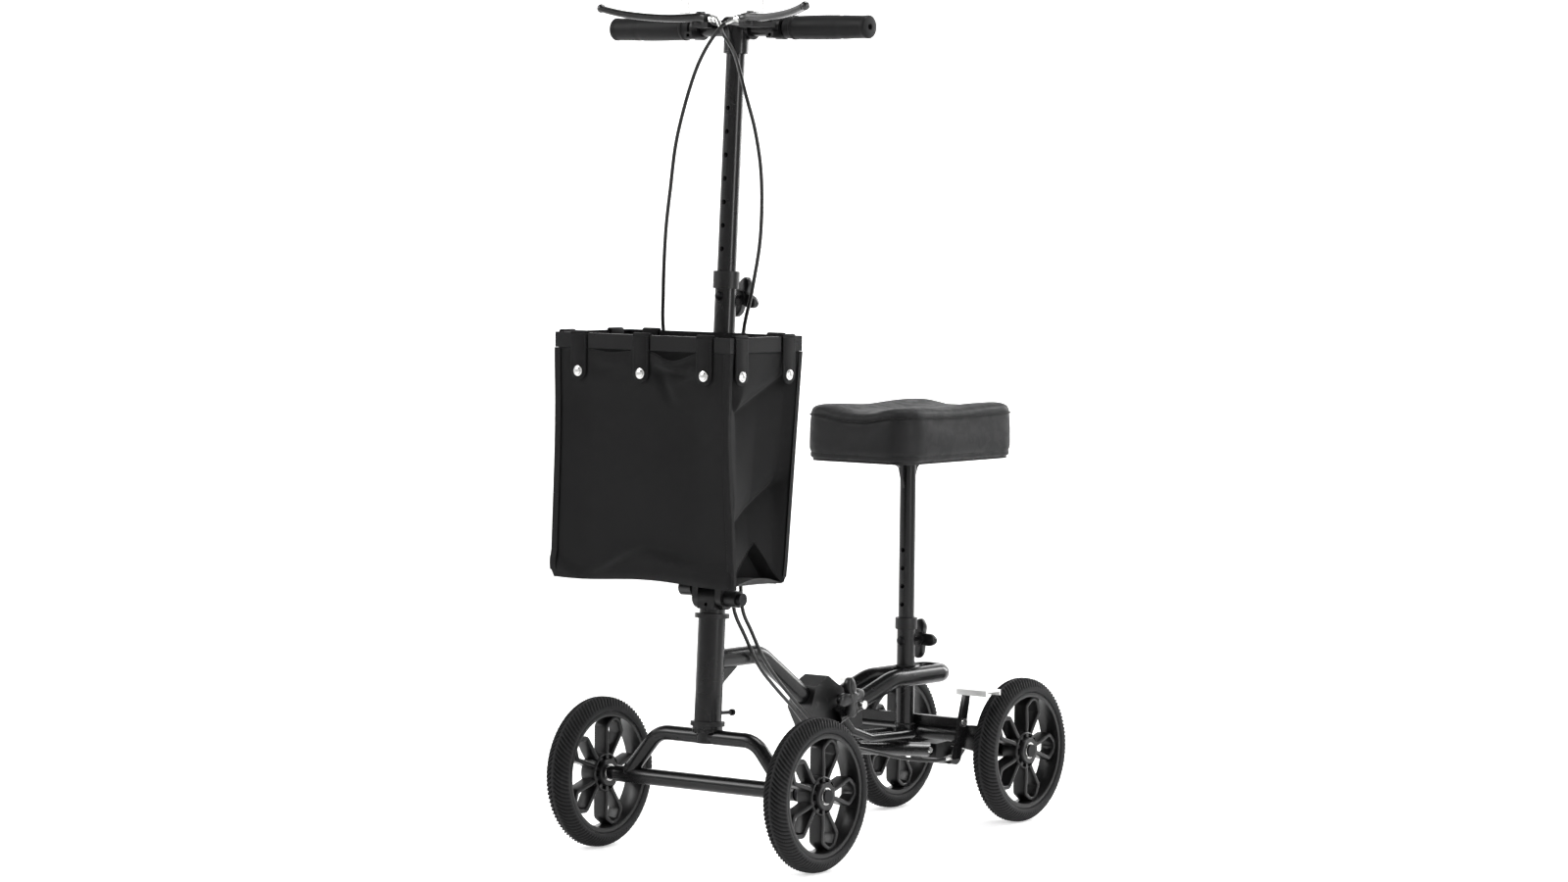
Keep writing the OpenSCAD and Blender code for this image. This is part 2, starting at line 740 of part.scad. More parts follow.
module lever_perches() {
    color("#151515") both_sides() translate([0, bar_y, bar_z]) difference() {
        union() {
            across_ring_x = perch_x - perch_w / 2;
            across(bar_d + 9, across_ring_x, across_ring_x + perch_w);
            translate([across_ring_x, -26, -14]) cube([perch_w, 26, 9]);
            linear_between = [[perch_x + 6, -8], [perch_x - 6, 6], [pivot_x - 8, pivot_y + 14],
                [pivot_x - 16, pivot_y + 4], [pivot_x - 16, pivot_y - 6], [pivot_x + 9, pivot_y - 8]];
            translate([0, 0, pivot_h - 13]) linear_extrude(7) polygon(linear_between);
            translate([pivot_x, pivot_y, pivot_h - 9]) cylinder(d = 18, h = 3);
            translate([pivot_x, pivot_y, pivot_h - 9]) cylinder(d = 6, h = 17);
            translate([pivot_x, pivot_y, pivot_h + 6.3]) cylinder(d = 12, h = 2);
        }
        across(bar_d + 2 * snug, 0, 120);
        translate([perch_x, 0, -9.5]) lengthways(5, -30, -18);
    }
}

module barrel_adjusters() {
    color("silver") both_sides() translate([0, bar_y, bar_z])
        translate([0, pivot_y, pivot_h - 2]) {
            across(9, pivot_x - 26, pivot_x - 16 - snug);
            across(12, pivot_x - 21, pivot_x - 17);
        }
}

module brake_lever() {
    h = 11;
    z0 = pivot_h - 5.4;
    color("#0c0c0c") translate([0, bar_y, bar_z + z0]) difference() {
        union() {
            linear_extrude(h) polygon([
                [pivot_x - 12, pivot_y - 3], [pivot_x - 10, pivot_y + 8], [pivot_x + 6, pivot_y + 10],
                [94, -46], [130, -62], [164, -76], [170, -80], [172, -86], [160, -87],
                [128, -74], [92, -58], [pivot_x + 8, pivot_y - 12], [pivot_x - 6, pivot_y - 12]]);
            translate([168, -83, -1]) cylinder(d = 14, h = h + 3);
        }
        translate([pivot_x, pivot_y, -1]) cylinder(d = 6 + 2 * fit, h = h + 2);
    }
}

// Wire bail on top of a lever that holds it pulled for parking
lock_x = 62;
lock_y = -41;

module parking_lock() {
    wire = 2.6;
    top = bar_z + pivot_h - 5.4 + 11 + gap;
    color("silver") translate([lock_x, bar_y + lock_y, top + wire / 2]) {
        across(wire, -8, 8);
        for (s = [-1, 1]) translate([s * 6, 0, 0]) cylinder(d = wire - 0.8, h = 18);
        translate([0, 0, 18]) across(wire, -8, 8);
    }
}

// ---------- bag ----------

module bag_frame() {
    bar = 4;
    z = bag_top_z - bag_bar_h;
    color("#141414") difference() {
        union() {
            difference() {
                translate([-bag_w / 2, bag_front_y, z]) cube([bag_w, bag_d, bag_bar_h]);
                translate([-bag_w / 2 + bar, bag_front_y + bar, z - 1])
                    cube([bag_w - 2 * bar, bag_d - 2 * bar, bag_bar_h + 2]);
            }
            translate([-22, bag_back_y, z + 1]) cube([44, 40, bag_bar_h - 2]);
        }
        steer_frame() cylinder(d = column_d + 2 * snug, h = 900);
    }
}

bag_taper = 26;

module bag() {
    t = 3;
    top = bag_top_z - bag_bar_h - 0.5;
    low = top - bag_h;
    f = bag_front_y + 0.3;
    b = bag_back_y - 0.3;
    color("#101010") difference() {
        side_plane() linear_extrude(bag_w - 0.6, center = true)
            polygon([[f, top], [b, top], [b - bag_taper, low], [f, low]]);
        side_plane() linear_extrude(bag_w - 0.6 - 2 * t, center = true)
            polygon([[f + t, top + 1], [b - t, top + 1], [b - t - bag_taper, low + t], [f + t, low + t]]);
    }
}

// One strap over the frame's bar, its outer face towards -Y
module strap() {
    t = strap_t;
    bar = 4;
    top = bag_top_z + 0.3;
    low = bag_top_z - 61;
    translate([-strap_w / 2, -t - 0.3, low]) cube([strap_w, t, top + t - low]);
    translate([-strap_w / 2, -t - 0.3, top]) cube([strap_w, bar + 0.6 + 2 * t, t]);
    translate([-strap_w / 2, bar + 0.3, bag_top_z - bag_bar_h]) cube([strap_w, t, bag_bar_h + 0.3 + t]);
    translate([0, -t - 0.3, bag_top_z - 50]) rotate([90, 0, 0]) cylinder(d1 = 13, d2 = 8, h = snap_h, $fn = 48);
}

module bag_straps() {
    color("#181818") {
        for (x = [-104, 0, 104]) translate([x, bag_front_y, 0]) strap();
        for (y = [-122, -22]) both_sides() translate([bag_w / 2, y, 0]) rotate([0, 0, 90]) strap();
        for (x = [-104, 104]) translate([x, bag_back_y, 0]) rotate([0, 0, 180]) strap();
    }
}

// ---------- seat ----------

module seat_post() {
    color("#141414") {
        translate([0, seat_y, 0]) difference() {
            translate([0, 0, post_bottom_z]) ring(post_d, post_d - 2 * tube_wall, seat_z - 4 - post_bottom_z);
            for (i = [0 : 5]) translate([0, 0, clamp_z + i * seat_pitch]) lengthways(6.5, -30, 30);
        }
        difference() {
            union() {
                translate([-32, seat_y - 55, seat_z - 4]) cube([64, 110, 4 - snug]);
                side_plane() linear_extrude(5, center = true) polygon([
                    [seat_y - 36, seat_z - 3], [seat_y - 20, seat_z - 12], [seat_y - 11, seat_z - 40],
                    [seat_y + 11, seat_z - 34], [seat_y + 20, seat_z - 12], [seat_y + 34, seat_z - 3]]);
            }
            translate([0, seat_y, 0]) cylinder(d = post_d, h = seat_z - 4);
        }
    }
}

module seat_board() {
    r = 24;
    w = cushion_w - 2 * board_inset;
    l = cushion_l - 2 * board_inset;
    color("#101010") translate([0, seat_y + 5, seat_z]) {
        for (sx = [-1, 1], sy = [-1, 1]) translate([sx * (w / 2 - r), sy * (l / 2 - r), 0]) cylinder(r = r, h = 9);
        translate([-w / 2 + r, -l / 2, 0]) cube([w - 2 * r, l, 9]);
        translate([-w / 2, -l / 2 + r, 0]) cube([w, l - 2 * r, 9]);
    }
}

module seat_cushion() {
    r = 32;
    z0 = seat_z + 9 + gap;
    color("#1b1b1b") translate([0, seat_y + 5, z0]) {
        for (sx = [-1, 1], sy = [-1, 1]) translate([sx * (cushion_w / 2 - r), sy * (cushion_l / 2 - r), 0])
            cylinder(r = r, h = cushion_h);
        translate([-cushion_w / 2 + r, -cushion_l / 2, 0]) cube([cushion_w - 2 * r, cushion_l, cushion_h]);
        translate([-cushion_w / 2, -cushion_l / 2 + r, 0]) cube([cushion_w, cushion_l - 2 * r, cushion_h]);
    }
}

// ---------- rear brakes ----------

module brake_arm() {
    in = arm_x - arm_t;
    color("#0f0f0f") difference() {
        translate([in, 0, 0]) rotate([90, 0, 90]) linear_extrude(arm_t) polygon([
            [cross_y - 19, pivot_z - 50], [cross_y - 7, pivot_z - 50], [cross_y + 8, pivot_z],
            [cross_y + 16, pivot_z + 38], [cross_y + 4, pivot_z + 38], [cross_y - 8, pivot_z]]);
        translate([0, cross_y, pivot_z]) across(2 * pivot_r + 2 * fit, 0, 120);
    }
    color("silver") translate([in - 8, cross_y + bar_back - 24, pivot_z + 38 + snug]) difference() {
        cube([brake_bar_l, bar_deep, 8]);
        translate([arm_t + 10, 3, -1]) cube([brake_bar_l, bar_deep - 6, 6]);
    }
}

module brake_pivot_bolts() {
    color("silver") translate([0, cross_y, pivot_z]) both_sides() {
        across(6, arm_x - arm_t - 14, arm_x - arm_t - gap);
        across(2 * pivot_r, arm_x - arm_t - gap, arm_x + gap);
        across(12, arm_x + gap, arm_x + gap + 2.2);
    }
}

// ---------- the nodes ----------

placed() head_tube();
placed() headset_cups();
placed() main_tube();
placed() head_gusset();
placed() frame_bracket();
placed() rear_loop();
placed() seat_tube();
placed() seat_collar();
placed() guard_tubes();
placed() lower_stay();
placed() cross_tube();
placed() rear_arms();
placed() rear_axle();
placed() frame_bolts();
placed() brake_pivot_bolts();
placed() rear_axle_bolts();
placed() seat_bolt();
placed() color("#101010") cable(left_route);  // brake_cable_left
placed() color("#101010") cable(right_route);  // brake_cable_right
placed() axle_tube();
placed() axle_arch();
placed() steerer();
placed() front_axle_bolts();
placed() fold_base();
placed() hinge_bolt();
placed() fold_knuckle();
placed() column_tube();
placed() column_collar();
placed() column_bolt();
placed() bag_frame();
placed() bag();
placed() bag_straps();
placed() slider_tube();
placed() handlebar();
placed() grips();
placed() lever_perches();
placed() barrel_adjusters();
placed() brake_lever();  // brake_lever_left
placed() mirror([1, 0, 0]) brake_lever();  // brake_lever_right
placed() parking_lock();  // parking_lock_left
placed() mirror([1, 0, 0]) parking_lock();  // parking_lock_right
placed() column_knob();
placed() seat_knob();
placed() frame_knob();
placed() seat_post();
placed() seat_board();
placed() seat_cushion();
placed() fold_latch();
placed() steering_lock();
placed() brake_arm();  // brake_arm_left
placed() mirror([1, 0, 0]) brake_arm();  // brake_arm_right
placed() at_wheel(true, 1) tyre();  // tyre_front_left
placed() at_wheel(true, -1) tyre();  // tyre_front_right
placed() at_wheel(false, 1) tyre();  // tyre_rear_left
placed() at_wheel(false, -1) tyre();  // tyre_rear_right
placed() at_wheel(true, 1) rim();  // rim_front_left
placed() at_wheel(true, -1) rim();  // rim_front_right
placed() at_wheel(false, 1) rim();  // rim_rear_left
placed() at_wheel(false, -1) rim();  // rim_rear_right
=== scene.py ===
import bpy, bmesh, json
from math import sin, cos, tan, pi, radians, hypot, atan2, sqrt, exp
from mathutils import Vector, Matrix, noise


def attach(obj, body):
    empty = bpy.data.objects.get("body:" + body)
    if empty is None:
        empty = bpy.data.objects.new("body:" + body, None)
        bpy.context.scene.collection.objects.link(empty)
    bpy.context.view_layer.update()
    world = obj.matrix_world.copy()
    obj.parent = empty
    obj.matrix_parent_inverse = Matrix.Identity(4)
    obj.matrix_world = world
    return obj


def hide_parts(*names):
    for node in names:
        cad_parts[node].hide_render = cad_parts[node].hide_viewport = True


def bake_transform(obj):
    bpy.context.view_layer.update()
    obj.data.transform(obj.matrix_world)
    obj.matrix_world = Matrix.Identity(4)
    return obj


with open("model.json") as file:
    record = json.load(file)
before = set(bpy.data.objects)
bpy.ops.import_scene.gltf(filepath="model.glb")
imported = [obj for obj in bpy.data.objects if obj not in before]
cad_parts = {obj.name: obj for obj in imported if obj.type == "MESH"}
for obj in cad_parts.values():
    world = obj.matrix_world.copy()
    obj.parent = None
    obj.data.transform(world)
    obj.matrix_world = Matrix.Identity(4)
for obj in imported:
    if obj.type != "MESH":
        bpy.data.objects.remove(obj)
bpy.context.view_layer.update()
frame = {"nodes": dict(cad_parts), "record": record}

# ---------------------------------------------------------------- sizes, in millimetres

BACK = 263.4          # the front axle lies this far ahead of the scooter's middle
AXLE_Z = 101.6
WHEEL_R = 101.6
RIM_R = 82.0
TYRE_W = 35.0
WHEELBASE = 576.0
RAKE = radians(3)
STEER_Z = 140.0
BAR_Z = 1100.0
BAR_Y = (BAR_Z - STEER_Z) * tan(RAKE) + 8
BAR_HALF = 212.0
GRIP_LEN = 134.0
SEAT_Y = 457.0
SEAT_BASE = 521.3
BAG_HALF = 144.7
BAG_FRONT, BAG_REAR = -144.7, 7.7
BAG_TOP, BAG_LOW = 678.5, 376.5
BAG_TAPER = 26.0


def at(x, y, z):
    """A point measured from the front axle, in metres in the row's frame."""
    return Vector((x / 1000, (y - BACK) / 1000, z / 1000))


def up_column(s, x=0.0, y=0.0):
    """A point s up the steering axis, x across it and y behind it."""
    return at(x, s * sin(RAKE) + y * cos(RAKE), STEER_Z + s * cos(RAKE) - y * sin(RAKE))


def mix(a, b, t):
    return a + (b - a) * t


def ramp(x, lo, hi):
    t = min(1.0, max(0.0, (x - lo) / (hi - lo)))
    return t * t * (3 - 2 * t)


# ---------------------------------------------------------------- finishes

class Wire:
    """A value inside a finish. Arithmetic on it adds Math nodes."""

    def __init__(self, finish, socket):
        self.finish, self.socket = finish, socket

    def _math(self, operation, *values):
        return self.finish.node("Math", {"operation": operation}, dict(enumerate(values)))

    def __add__(self, o): return self._math("ADD", self, o)
    def __radd__(self, o): return self._math("ADD", o, self)
    def __sub__(self, o): return self._math("SUBTRACT", self, o)
    def __rsub__(self, o): return self._math("SUBTRACT", o, self)
    def __mul__(self, o): return self._math("MULTIPLY", self, o)
    def __rmul__(self, o): return self._math("MULTIPLY", o, self)
    def __truediv__(self, o): return self._math("DIVIDE", self, o)
    def __abs__(self): return self._math("ABSOLUTE", self)
    def __gt__(self, o): return self._math("GREATER_THAN", self, o)
    def sine(self): return self._math("SINE", self)


class Finish:
    """A procedural material on one Principled shader."""

    def __init__(self, name, rough=0.5, metal=0.0, **sockets):
        self.material = bpy.data.materials.new(name)
        self.material.use_nodes = True
        self.tree = self.material.node_tree
        self.shader = self.tree.nodes["Principled BSDF"]
        self.shader.inputs["Roughness"].default_value = rough
        self.shader.inputs["Metallic"].default_value = metal
        for key, value in sockets.items():
            self.shader.inputs[key.replace("_", " ")].default_value = value
        self.place = self.node("TexCoord", out="Object")

    def node(self, kind, settings=None, values=None, out=0):
        n = self.tree.nodes.new("ShaderNode" + kind)
        for key, value in (settings or {}).items():
            if key == "stops":
                while len(n.color_ramp.elements) < len(value):
                    n.color_ramp.elements.new(0.5)
                for element, (where, tone) in zip(n.color_ramp.elements, value):
                    element.position = where
                    element.color = (tone, tone, tone, 1) if isinstance(tone, (int, float)) else (*tone, 1)
            else:
                setattr(n, key, value)
        for key, value in (values or {}).items():
            if isinstance(value, Wire):
                self.tree.links.new(value.socket, n.inputs[key])
            else:
                n.inputs[key].default_value = value
        return Wire(self, n.outputs[out])

    def split(self):
        xyz = self.tree.nodes.new("ShaderNodeSeparateXYZ")
        self.tree.links.new(self.place.socket, xyz.inputs[0])
        return [Wire(self, s) for s in xyz.outputs]

    def speckle(self, scale, detail=3.0, rough=0.5, stretch=None):
        where = self.place
        if stretch:
            where = self.node("VectorMath", {"operation": "MULTIPLY"}, {0: where, 1: stretch})
        return self.node("TexNoise", None, {"Vector": where, "Scale": scale, "Detail": detail,
                                            "Roughness": rough})

    def cells(self, scale, feature="F1"):
        return self.node("TexVoronoi", {"feature": feature}, {"Vector": self.place, "Scale": scale},
                         out="Distance")

    def steps(self, value, *stops):
        return self.node("ValToRGB", {"stops": stops}, {0: value})

    def blend(self, t, a, b):
        a = a if isinstance(a, Wire) else (*a, 1)
        b = b if isinstance(b, Wire) else (*b, 1)
        return self.node("Mix", {"data_type": "RGBA"}, {0: t, 6: a, 7: b}, out=2)

    def feed(self, socket, wire):
        self.tree.links.new(wire.socket, self.shader.inputs[socket])
        return self

    def relief(self, height, depth, strength=1.0):
        """Bump of that depth in millimetres."""
        bump = self.node("Bump", None, {"Height": height, "Distance": depth / 1000, "Strength": strength})
        return self.feed("Normal", bump)


def powder_coat(name, tone, rough):
    f = Finish(name, rough=rough, Specular_IOR_Level=0.26, Coat_Weight=0.05, Coat_Roughness=0.12)
    cloud = f.speckle(9.0, 4.0)
    fine = f.speckle(1500.0, 2.0)
    f.feed("Base Color", f.blend(f.steps(cloud, (0.35, 0.0), (0.7, 1.0)), tone, [c * 1.35 for c in tone]))
    f.feed("Roughness", rough - 0.03 + 0.07 * f.speckle(24.0, 3.0))
    return f.relief(fine + 0.5 * f.speckle(420.0, 2.0), 0.008, 0.3)


def cast_alloy(name, tone, rough):
    f = Finish(name, rough=rough, metal=0.1, Specular_IOR_Level=0.32)
    grit = f.speckle(900.0, 4.0, 0.7)
    rubbed = f.steps(f.speckle(60.0, 6.0, 0.65), (0.62, 0.0), (0.80, 1.0))
    f.feed("Base Color", f.blend(0.35 * rubbed, tone, (0.10, 0.10, 0.10)))
    f.feed("Roughness", rough - 0.1 * rubbed + 0.1 * grit)
    return f.relief(grit, 0.02, 0.4)


def bright_steel(name, tone, rough, grain=(1, 30, 30)):
    f = Finish(name, rough=rough, metal=1.0)
    drawn = f.speckle(55.0, 5.0, 0.6, stretch=grain)
    stain = f.speckle(35.0, 4.0)
    f.feed("Base Color", f.blend(f.steps(stain, (0.4, 0.0), (0.72, 1.0)), tone, [c * 0.78 for c in tone]))
    f.feed("Roughness", rough - 0.06 + 0.16 * drawn)
    return f.relief(drawn, 0.02, 0.5)


def solid_rubber(name, tone, rough, painted_groove_shade=False):
    f = Finish(name, rough=rough, Specular_IOR_Level=0.12)
    dust = f.steps(f.speckle(26.0, 6.0, 0.62), (0.42, 0.0), (0.75, 1.0))
    fine = f.speckle(1100.0, 3.0)
    colour = f.blend(0.55 * dust, tone, [c * 1.7 for c in tone])
    if painted_groove_shade:
        # Painted light and shade: where a groove is cut the tyre is painted darker, as shade in the groove, and
        # the ribs are painted lighter, as light on their tops; the dust noise on them is real
        depth = f.node("Attribute", {"attribute_name": "groove"}, out="Fac")
        colour = f.blend(depth, f.blend(0.5 * dust, [c * 1.25 for c in tone], [c * 1.9 for c in tone]),
                         [c * 0.22 for c in tone])
    f.feed("Base Color", colour)
    f.feed("Roughness", rough + 0.12 * dust)
    return f.relief(fine, 0.02, 0.4)


def moulded(name, tone, rough, coat=0.0):
    f = Finish(name, rough=rough, Specular_IOR_Level=0.3, Coat_Weight=coat, Coat_Roughness=0.25)
    grain = f.speckle(700.0, 3.0, 0.6)
    flow = f.speckle(14.0, 4.0)
    f.feed("Base Color", f.blend(f.steps(flow, (0.35, 0.0), (0.75, 1.0)), tone, [c * 1.4 for c in tone]))
    f.feed("Roughness", rough - 0.04 + 0.1 * grain)
    return f.relief(grain, 0.012, 0.35)


def woven(name, tone, pitch, rough, sheen=0.05, depth=0.12):
    """Plain weave of that pitch in millimetres, on upright and level faces alike."""
    f = Finish(name, rough=rough, Sheen_Weight=sheen, Sheen_Roughness=0.5, Specular_IOR_Level=0.12)
    x, y, z = f.split()
    turns = 2 * pi / (pitch / 1000)
    across, along = (turns * (x + y)).sine(), (turns * (z + 0.35 * y)).sine()
    weave = 0.5 + 0.25 * across * along + 0.12 * across
    cloud = f.steps(f.speckle(16.0, 5.0, 0.6), (0.35, 0.0), (0.75, 1.0))
    thread = f.blend(weave, [c * 0.72 for c in tone], [c * 1.3 for c in tone])
    f.feed("Base Color", f.blend(0.35 * cloud, thread, [c * 1.6 for c in tone]))
    f.feed("Roughness", rough + 0.12 * weave)
    return f.relief(weave + 0.25 * f.speckle(240.0, 3.0), depth, 0.7)


def grained_vinyl(name, tone, rough):
    f = Finish(name, rough=rough, Specular_IOR_Level=0.14)
    x, y, z = f.split()
    diagonal = 2 * pi / 0.0021
    twill = (diagonal * (x + y + z)).sine() * (diagonal * (x + y - z)).sine()
    pebble = f.cells(900.0)
    crease = f.steps(f.speckle(70.0, 5.0, 0.6), (0.46, 0.0), (0.56, 1.0))
    f.feed("Base Color", f.blend(0.5 + 0.3 * twill, tone, [c * 1.25 for c in tone]))
    f.feed("Roughness", rough + 0.1 * crease - 0.06 * pebble)
    return f.relief(0.5 * twill + 0.6 * pebble + 0.3 * crease, 0.06, 0.5)


PAINT = powder_coat("black powder coat", (0.0026, 0.0026, 0.0028), 0.26)
ALLOY = cast_alloy("satin black casting", (0.0036, 0.0036, 0.0038), 0.36)
STEEL = bright_steel("bright zinc steel", (0.66, 0.66, 0.65), 0.24)
BRUSHED = bright_steel("brushed brake bar", (0.78, 0.78, 0.77), 0.34, grain=(30, 1, 30))
BOLT = bright_steel("blackened bolt", (0.018, 0.018, 0.019), 0.42)
TYRE = solid_rubber("grey solid rubber", (0.0140, 0.0140, 0.0145), 0.62, painted_groove_shade=True)
RIM = moulded("moulded rim", (0.0040, 0.0040, 0.0042), 0.34, coat=0.03)
GRIP = solid_rubber("grip rubber", (0.0085, 0.0085, 0.0088), 0.46)
KNOB = moulded("moulded knob", (0.0048, 0.0048, 0.0050), 0.28, coat=0.1)
HOUSING = moulded("cable housing", (0.0050, 0.0050, 0.0050), 0.30, coat=0.1)
NYLON = woven("bag nylon", (0.0028, 0.0028, 0.0030), 1.1, 0.64)
WEBBING = woven("strap webbing", (0.0030, 0.0030, 0.0032), 1.6, 0.66, depth=0.22)
BINDING = woven("edge binding", (0.0036, 0.0036, 0.0038), 0.8, 0.6, depth=0.08)
THREAD = woven("stitching thread", (0.012, 0.012, 0.0125), 0.35, 0.6, depth=0.05)
VINYL = grained_vinyl("seat vinyl", (0.0105, 0.0105, 0.0109), 0.52)
POLISHED = moulded("polished lever", (0.006, 0.006, 0.006), 0.15, coat=0.6)
BOARD = powder_coat("painted seat board", (0.004, 0.004, 0.004), 0.5)

# ---------------------------------------------------------------- the frame's own pieces

BY_SLOT = {"frame_paint": PAINT, "alloy": ALLOY, "steel": STEEL, "tyre": TYRE, "rim": RIM, "grip": GRIP,
           "bag": NYLON, "webbing": WEBBING, "vinyl": VINYL, "cable": HOUSING, "knob": KNOB, "board": BOARD}
BY_NODE = {"hinge_bolt": BOLT, "front_axle_bolts": BOLT, "rear_axle_bolts": BOLT, "column_bolt": BOLT,
           "seat_bolt": BOLT, "steering_lock": BOLT}
for part in frame["record"]["subparts"]:
    node = frame["nodes"][part["node"]]
    finish = BY_NODE.get(part["node"], BY_SLOT[part["material_slot"]])
    node.data.materials.clear()
    node.data.materials.append(finish.material)

# The brake arms are black, and the bars on them are bright
for side in ("left", "right"):
    arm = frame["nodes"]["brake_arm_" + side]
    arm.data.materials.clear()
    for finish in (PAINT, BRUSHED):
        arm.data.materials.append(finish.material)
    high = at(0, 0, 185.9).z
    for face in arm.data.polygons:
        face.material_index = 1 if min(arm.data.vertices[v].co.z for v in face.vertices) > high else 0


# ---------------------------------------------------------------- mesh tools

def piece(name, verts, faces, body, finish, smooth=True, angle=40, merge=True):
    """A closed mesh, its normals outwards, that rides on a body."""
    name = name.replace(" ", "_")
    mesh = bpy.data.meshes.new(name)
    mesh.from_pydata([tuple(v) for v in verts], [], faces)
    bm = bmesh.new()
    bm.from_mesh(mesh)
    if merge:
        bmesh.ops.remove_doubles(bm, verts=bm.verts, dist=1e-6)
    bmesh.ops.recalc_face_normals(bm, faces=bm.faces)
    bm.to_mesh(mesh)
    bm.free()
    obj = bpy.data.objects.new(name, mesh)
    bpy.context.scene.collection.objects.link(obj)
    mesh.materials.append(finish.material)
    if smooth:
        mesh.shade_smooth()
        mesh.set_sharp_from_angle(angle=radians(angle))
    if body:
        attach(obj, body)
    return obj


def apply_modifiers(obj):
    """The object's mesh with its modifiers applied, and the modifiers gone."""
    bpy.context.view_layer.update()
    graph = bpy.context.evaluated_depsgraph_get()
    mesh = bpy.data.meshes.new_from_object(obj.evaluated_get(graph))
    old = obj.data
    obj.modifiers.clear()
    obj.data = mesh
    bpy.data.meshes.remove(old)
    return obj


def skin(rings, closed=False):
    """Faces over rings of equally many points; each ring is a loop, and open ends get a cap."""
    n, verts, faces = len(rings[0]), [v for ring in rings for v in ring], []
    last = len(rings) if closed else len(rings) - 1
    for i in range(last):
        a, b = i * n, ((i + 1) % len(rings)) * n
        faces += [(a + k, a + (k + 1) % n, b + (k + 1) % n, b + k) for k in range(n)]
    if not closed:
        faces += [tuple(range(n)), tuple(range((len(rings) - 1) * n, len(rings) * n))]
    return verts, faces


def turned(profile, origin, axis, count=48):
    """Rings of a profile of (along, radius) turned about an axis through origin."""
    axis = Vector(axis).normalized()
    u = axis.orthogonal().normalized()
    v = axis.cross(u)
    return [[origin + axis * (a / 1000) + (u * cos(2 * pi * k / count) + v * sin(2 * pi * k / count)) * (r / 1000)
             for k in range(count)] for a, r in profile]


def smooth_path(points, steps=6):
    out = []
    for i in range(len(points) - 1):
        a, b = points[max(i - 1, 0)], points[i]
        c, d = points[i + 1], points[min(i + 2, len(points) - 1)]
        for k in range(steps):
            t = k / steps
            out.append(0.5 * (2 * b + (c - a) * t + (2 * a - 5 * b + 4 * c - d) * t ** 2
                              + (3 * b - a - 3 * c + d) * t ** 3))
    return out + [points[-1]]


def swept(path, radius, count=12):
    """Rings along a path; radius is in millimetres, or a function of the ring's number."""
    rings, side = [], None
    for i, p in enumerate(path):
        t = (path[min(i + 1, len(path) - 1)] - path[max(i - 1, 0)]).normalized()
        side = t.orthogonal().normalized() if side is None else (side - t * side.dot(t)).normalized()
        other = t.cross(side)
        r = (radius(i) if callable(radius) else radius) / 1000
        rings.append([p + (side * cos(2 * pi * k / count) + other * sin(2 * pi * k / count)) * r
                      for k in range(count)])
    return rings


# ---------------------------------------------------------------- one tree for all that repeats along a line

def repeat_tree():
    """Copies of an item at a pitch along a line, turned with it."""
    tree = bpy.data.node_groups.new("repeat along a line", "GeometryNodeTree")
    face = tree.interface
    face.new_socket("Geometry", in_out="INPUT", socket_type="NodeSocketGeometry")
    for name, kind in (("Pitch", "NodeSocketFloat"), ("Item", "NodeSocketObject"), ("Finish",
                                                                                    "NodeSocketMaterial")):
        face.new_socket(name, in_out="INPUT", socket_type=kind)
    face.new_socket("Geometry", in_out="OUTPUT", socket_type="NodeSocketGeometry")
    new, link = tree.nodes.new, tree.links.new
    start, end = new("NodeGroupInput"), new("NodeGroupOutput")
    line, even = new("GeometryNodeMeshToCurve"), new("GeometryNodeResampleCurve")
    even.mode = "LENGTH"
    put, item = new("GeometryNodeInstanceOnPoints"), new("GeometryNodeObjectInfo")
    way, turn = new("GeometryNodeInputTangent"), new("FunctionNodeAlignRotationToVector")
    turn.axis = "X"
    real, paint = new("GeometryNodeRealizeInstances"), new("GeometryNodeSetMaterial")
    link(start.outputs["Geometry"], line.inputs[0])
    link(line.outputs[0], even.inputs["Curve"])
    link(start.outputs["Pitch"], even.inputs["Length"])
    link(even.outputs[0], put.inputs["Points"])
    link(start.outputs["Item"], item.inputs["Object"])
    link(item.outputs["Geometry"], put.inputs["Instance"])
    link(way.outputs[0], turn.inputs["Vector"])
    link(turn.outputs[0], put.inputs["Rotation"])
    link(put.outputs[0], real.inputs[0])
    link(real.outputs[0], paint.inputs["Geometry"])
    link(start.outputs["Finish"], paint.inputs["Material"])
    link(paint.outputs[0], end.inputs[0])
    return tree


REPEAT = repeat_tree()


def repeated(name, lines, pitch, item, finish, body):
    """One mesh of items at that pitch, in millimetres, along each line of points."""
    name = name.replace(" ", "_")
    verts, edges = [], []
    for line in lines:
        base = len(verts)
        verts += [tuple(p) for p in line]
        edges += [(base + i, base + i + 1) for i in range(len(line) - 1)]
    mesh = bpy.data.meshes.new(name)
    mesh.from_pydata(verts, edges, [])
    obj = bpy.data.objects.new(name, mesh)
    bpy.context.scene.collection.objects.link(obj)
    mod = obj.modifiers.new("repeat", "NODES")
    mod.node_group = REPEAT
    ids = {s.name: s.identifier for s in REPEAT.interface.items_tree if s.in_out == "INPUT"}
    mod[ids["Pitch"]] = pitch / 1000
    mod[ids["Item"]] = item
    mod[ids["Finish"]] = finish.material
    apply_modifiers(obj)
    obj.data.shade_smooth()
    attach(obj, body)
    return obj


def stitch_item(length, thick):
    """One stitch: a small rounded lozenge along X."""
    rings = []
    for t in (-1.0, -0.7, 0.0, 0.7, 1.0):
        r = thick / 2 * sqrt(max(0.02, 1 - t * t))
        rings.append([Vector((t * length / 2000, r * cos(2 * pi * k / 6) / 1000,
                              r * sin(2 * pi * k / 6) / 1000))
                      for k in range(6)])
    verts, faces = skin(rings)
    mesh = bpy.data.meshes.new("stitch")
    mesh.from_pydata([tuple(v) for v in verts], [], faces)
    mesh.materials.append(THREAD.material)
    return bpy.data.objects.new("stitch", mesh)


STITCH = stitch_item(2.6, 0.7)

# ---------------------------------------------------------------- tyres

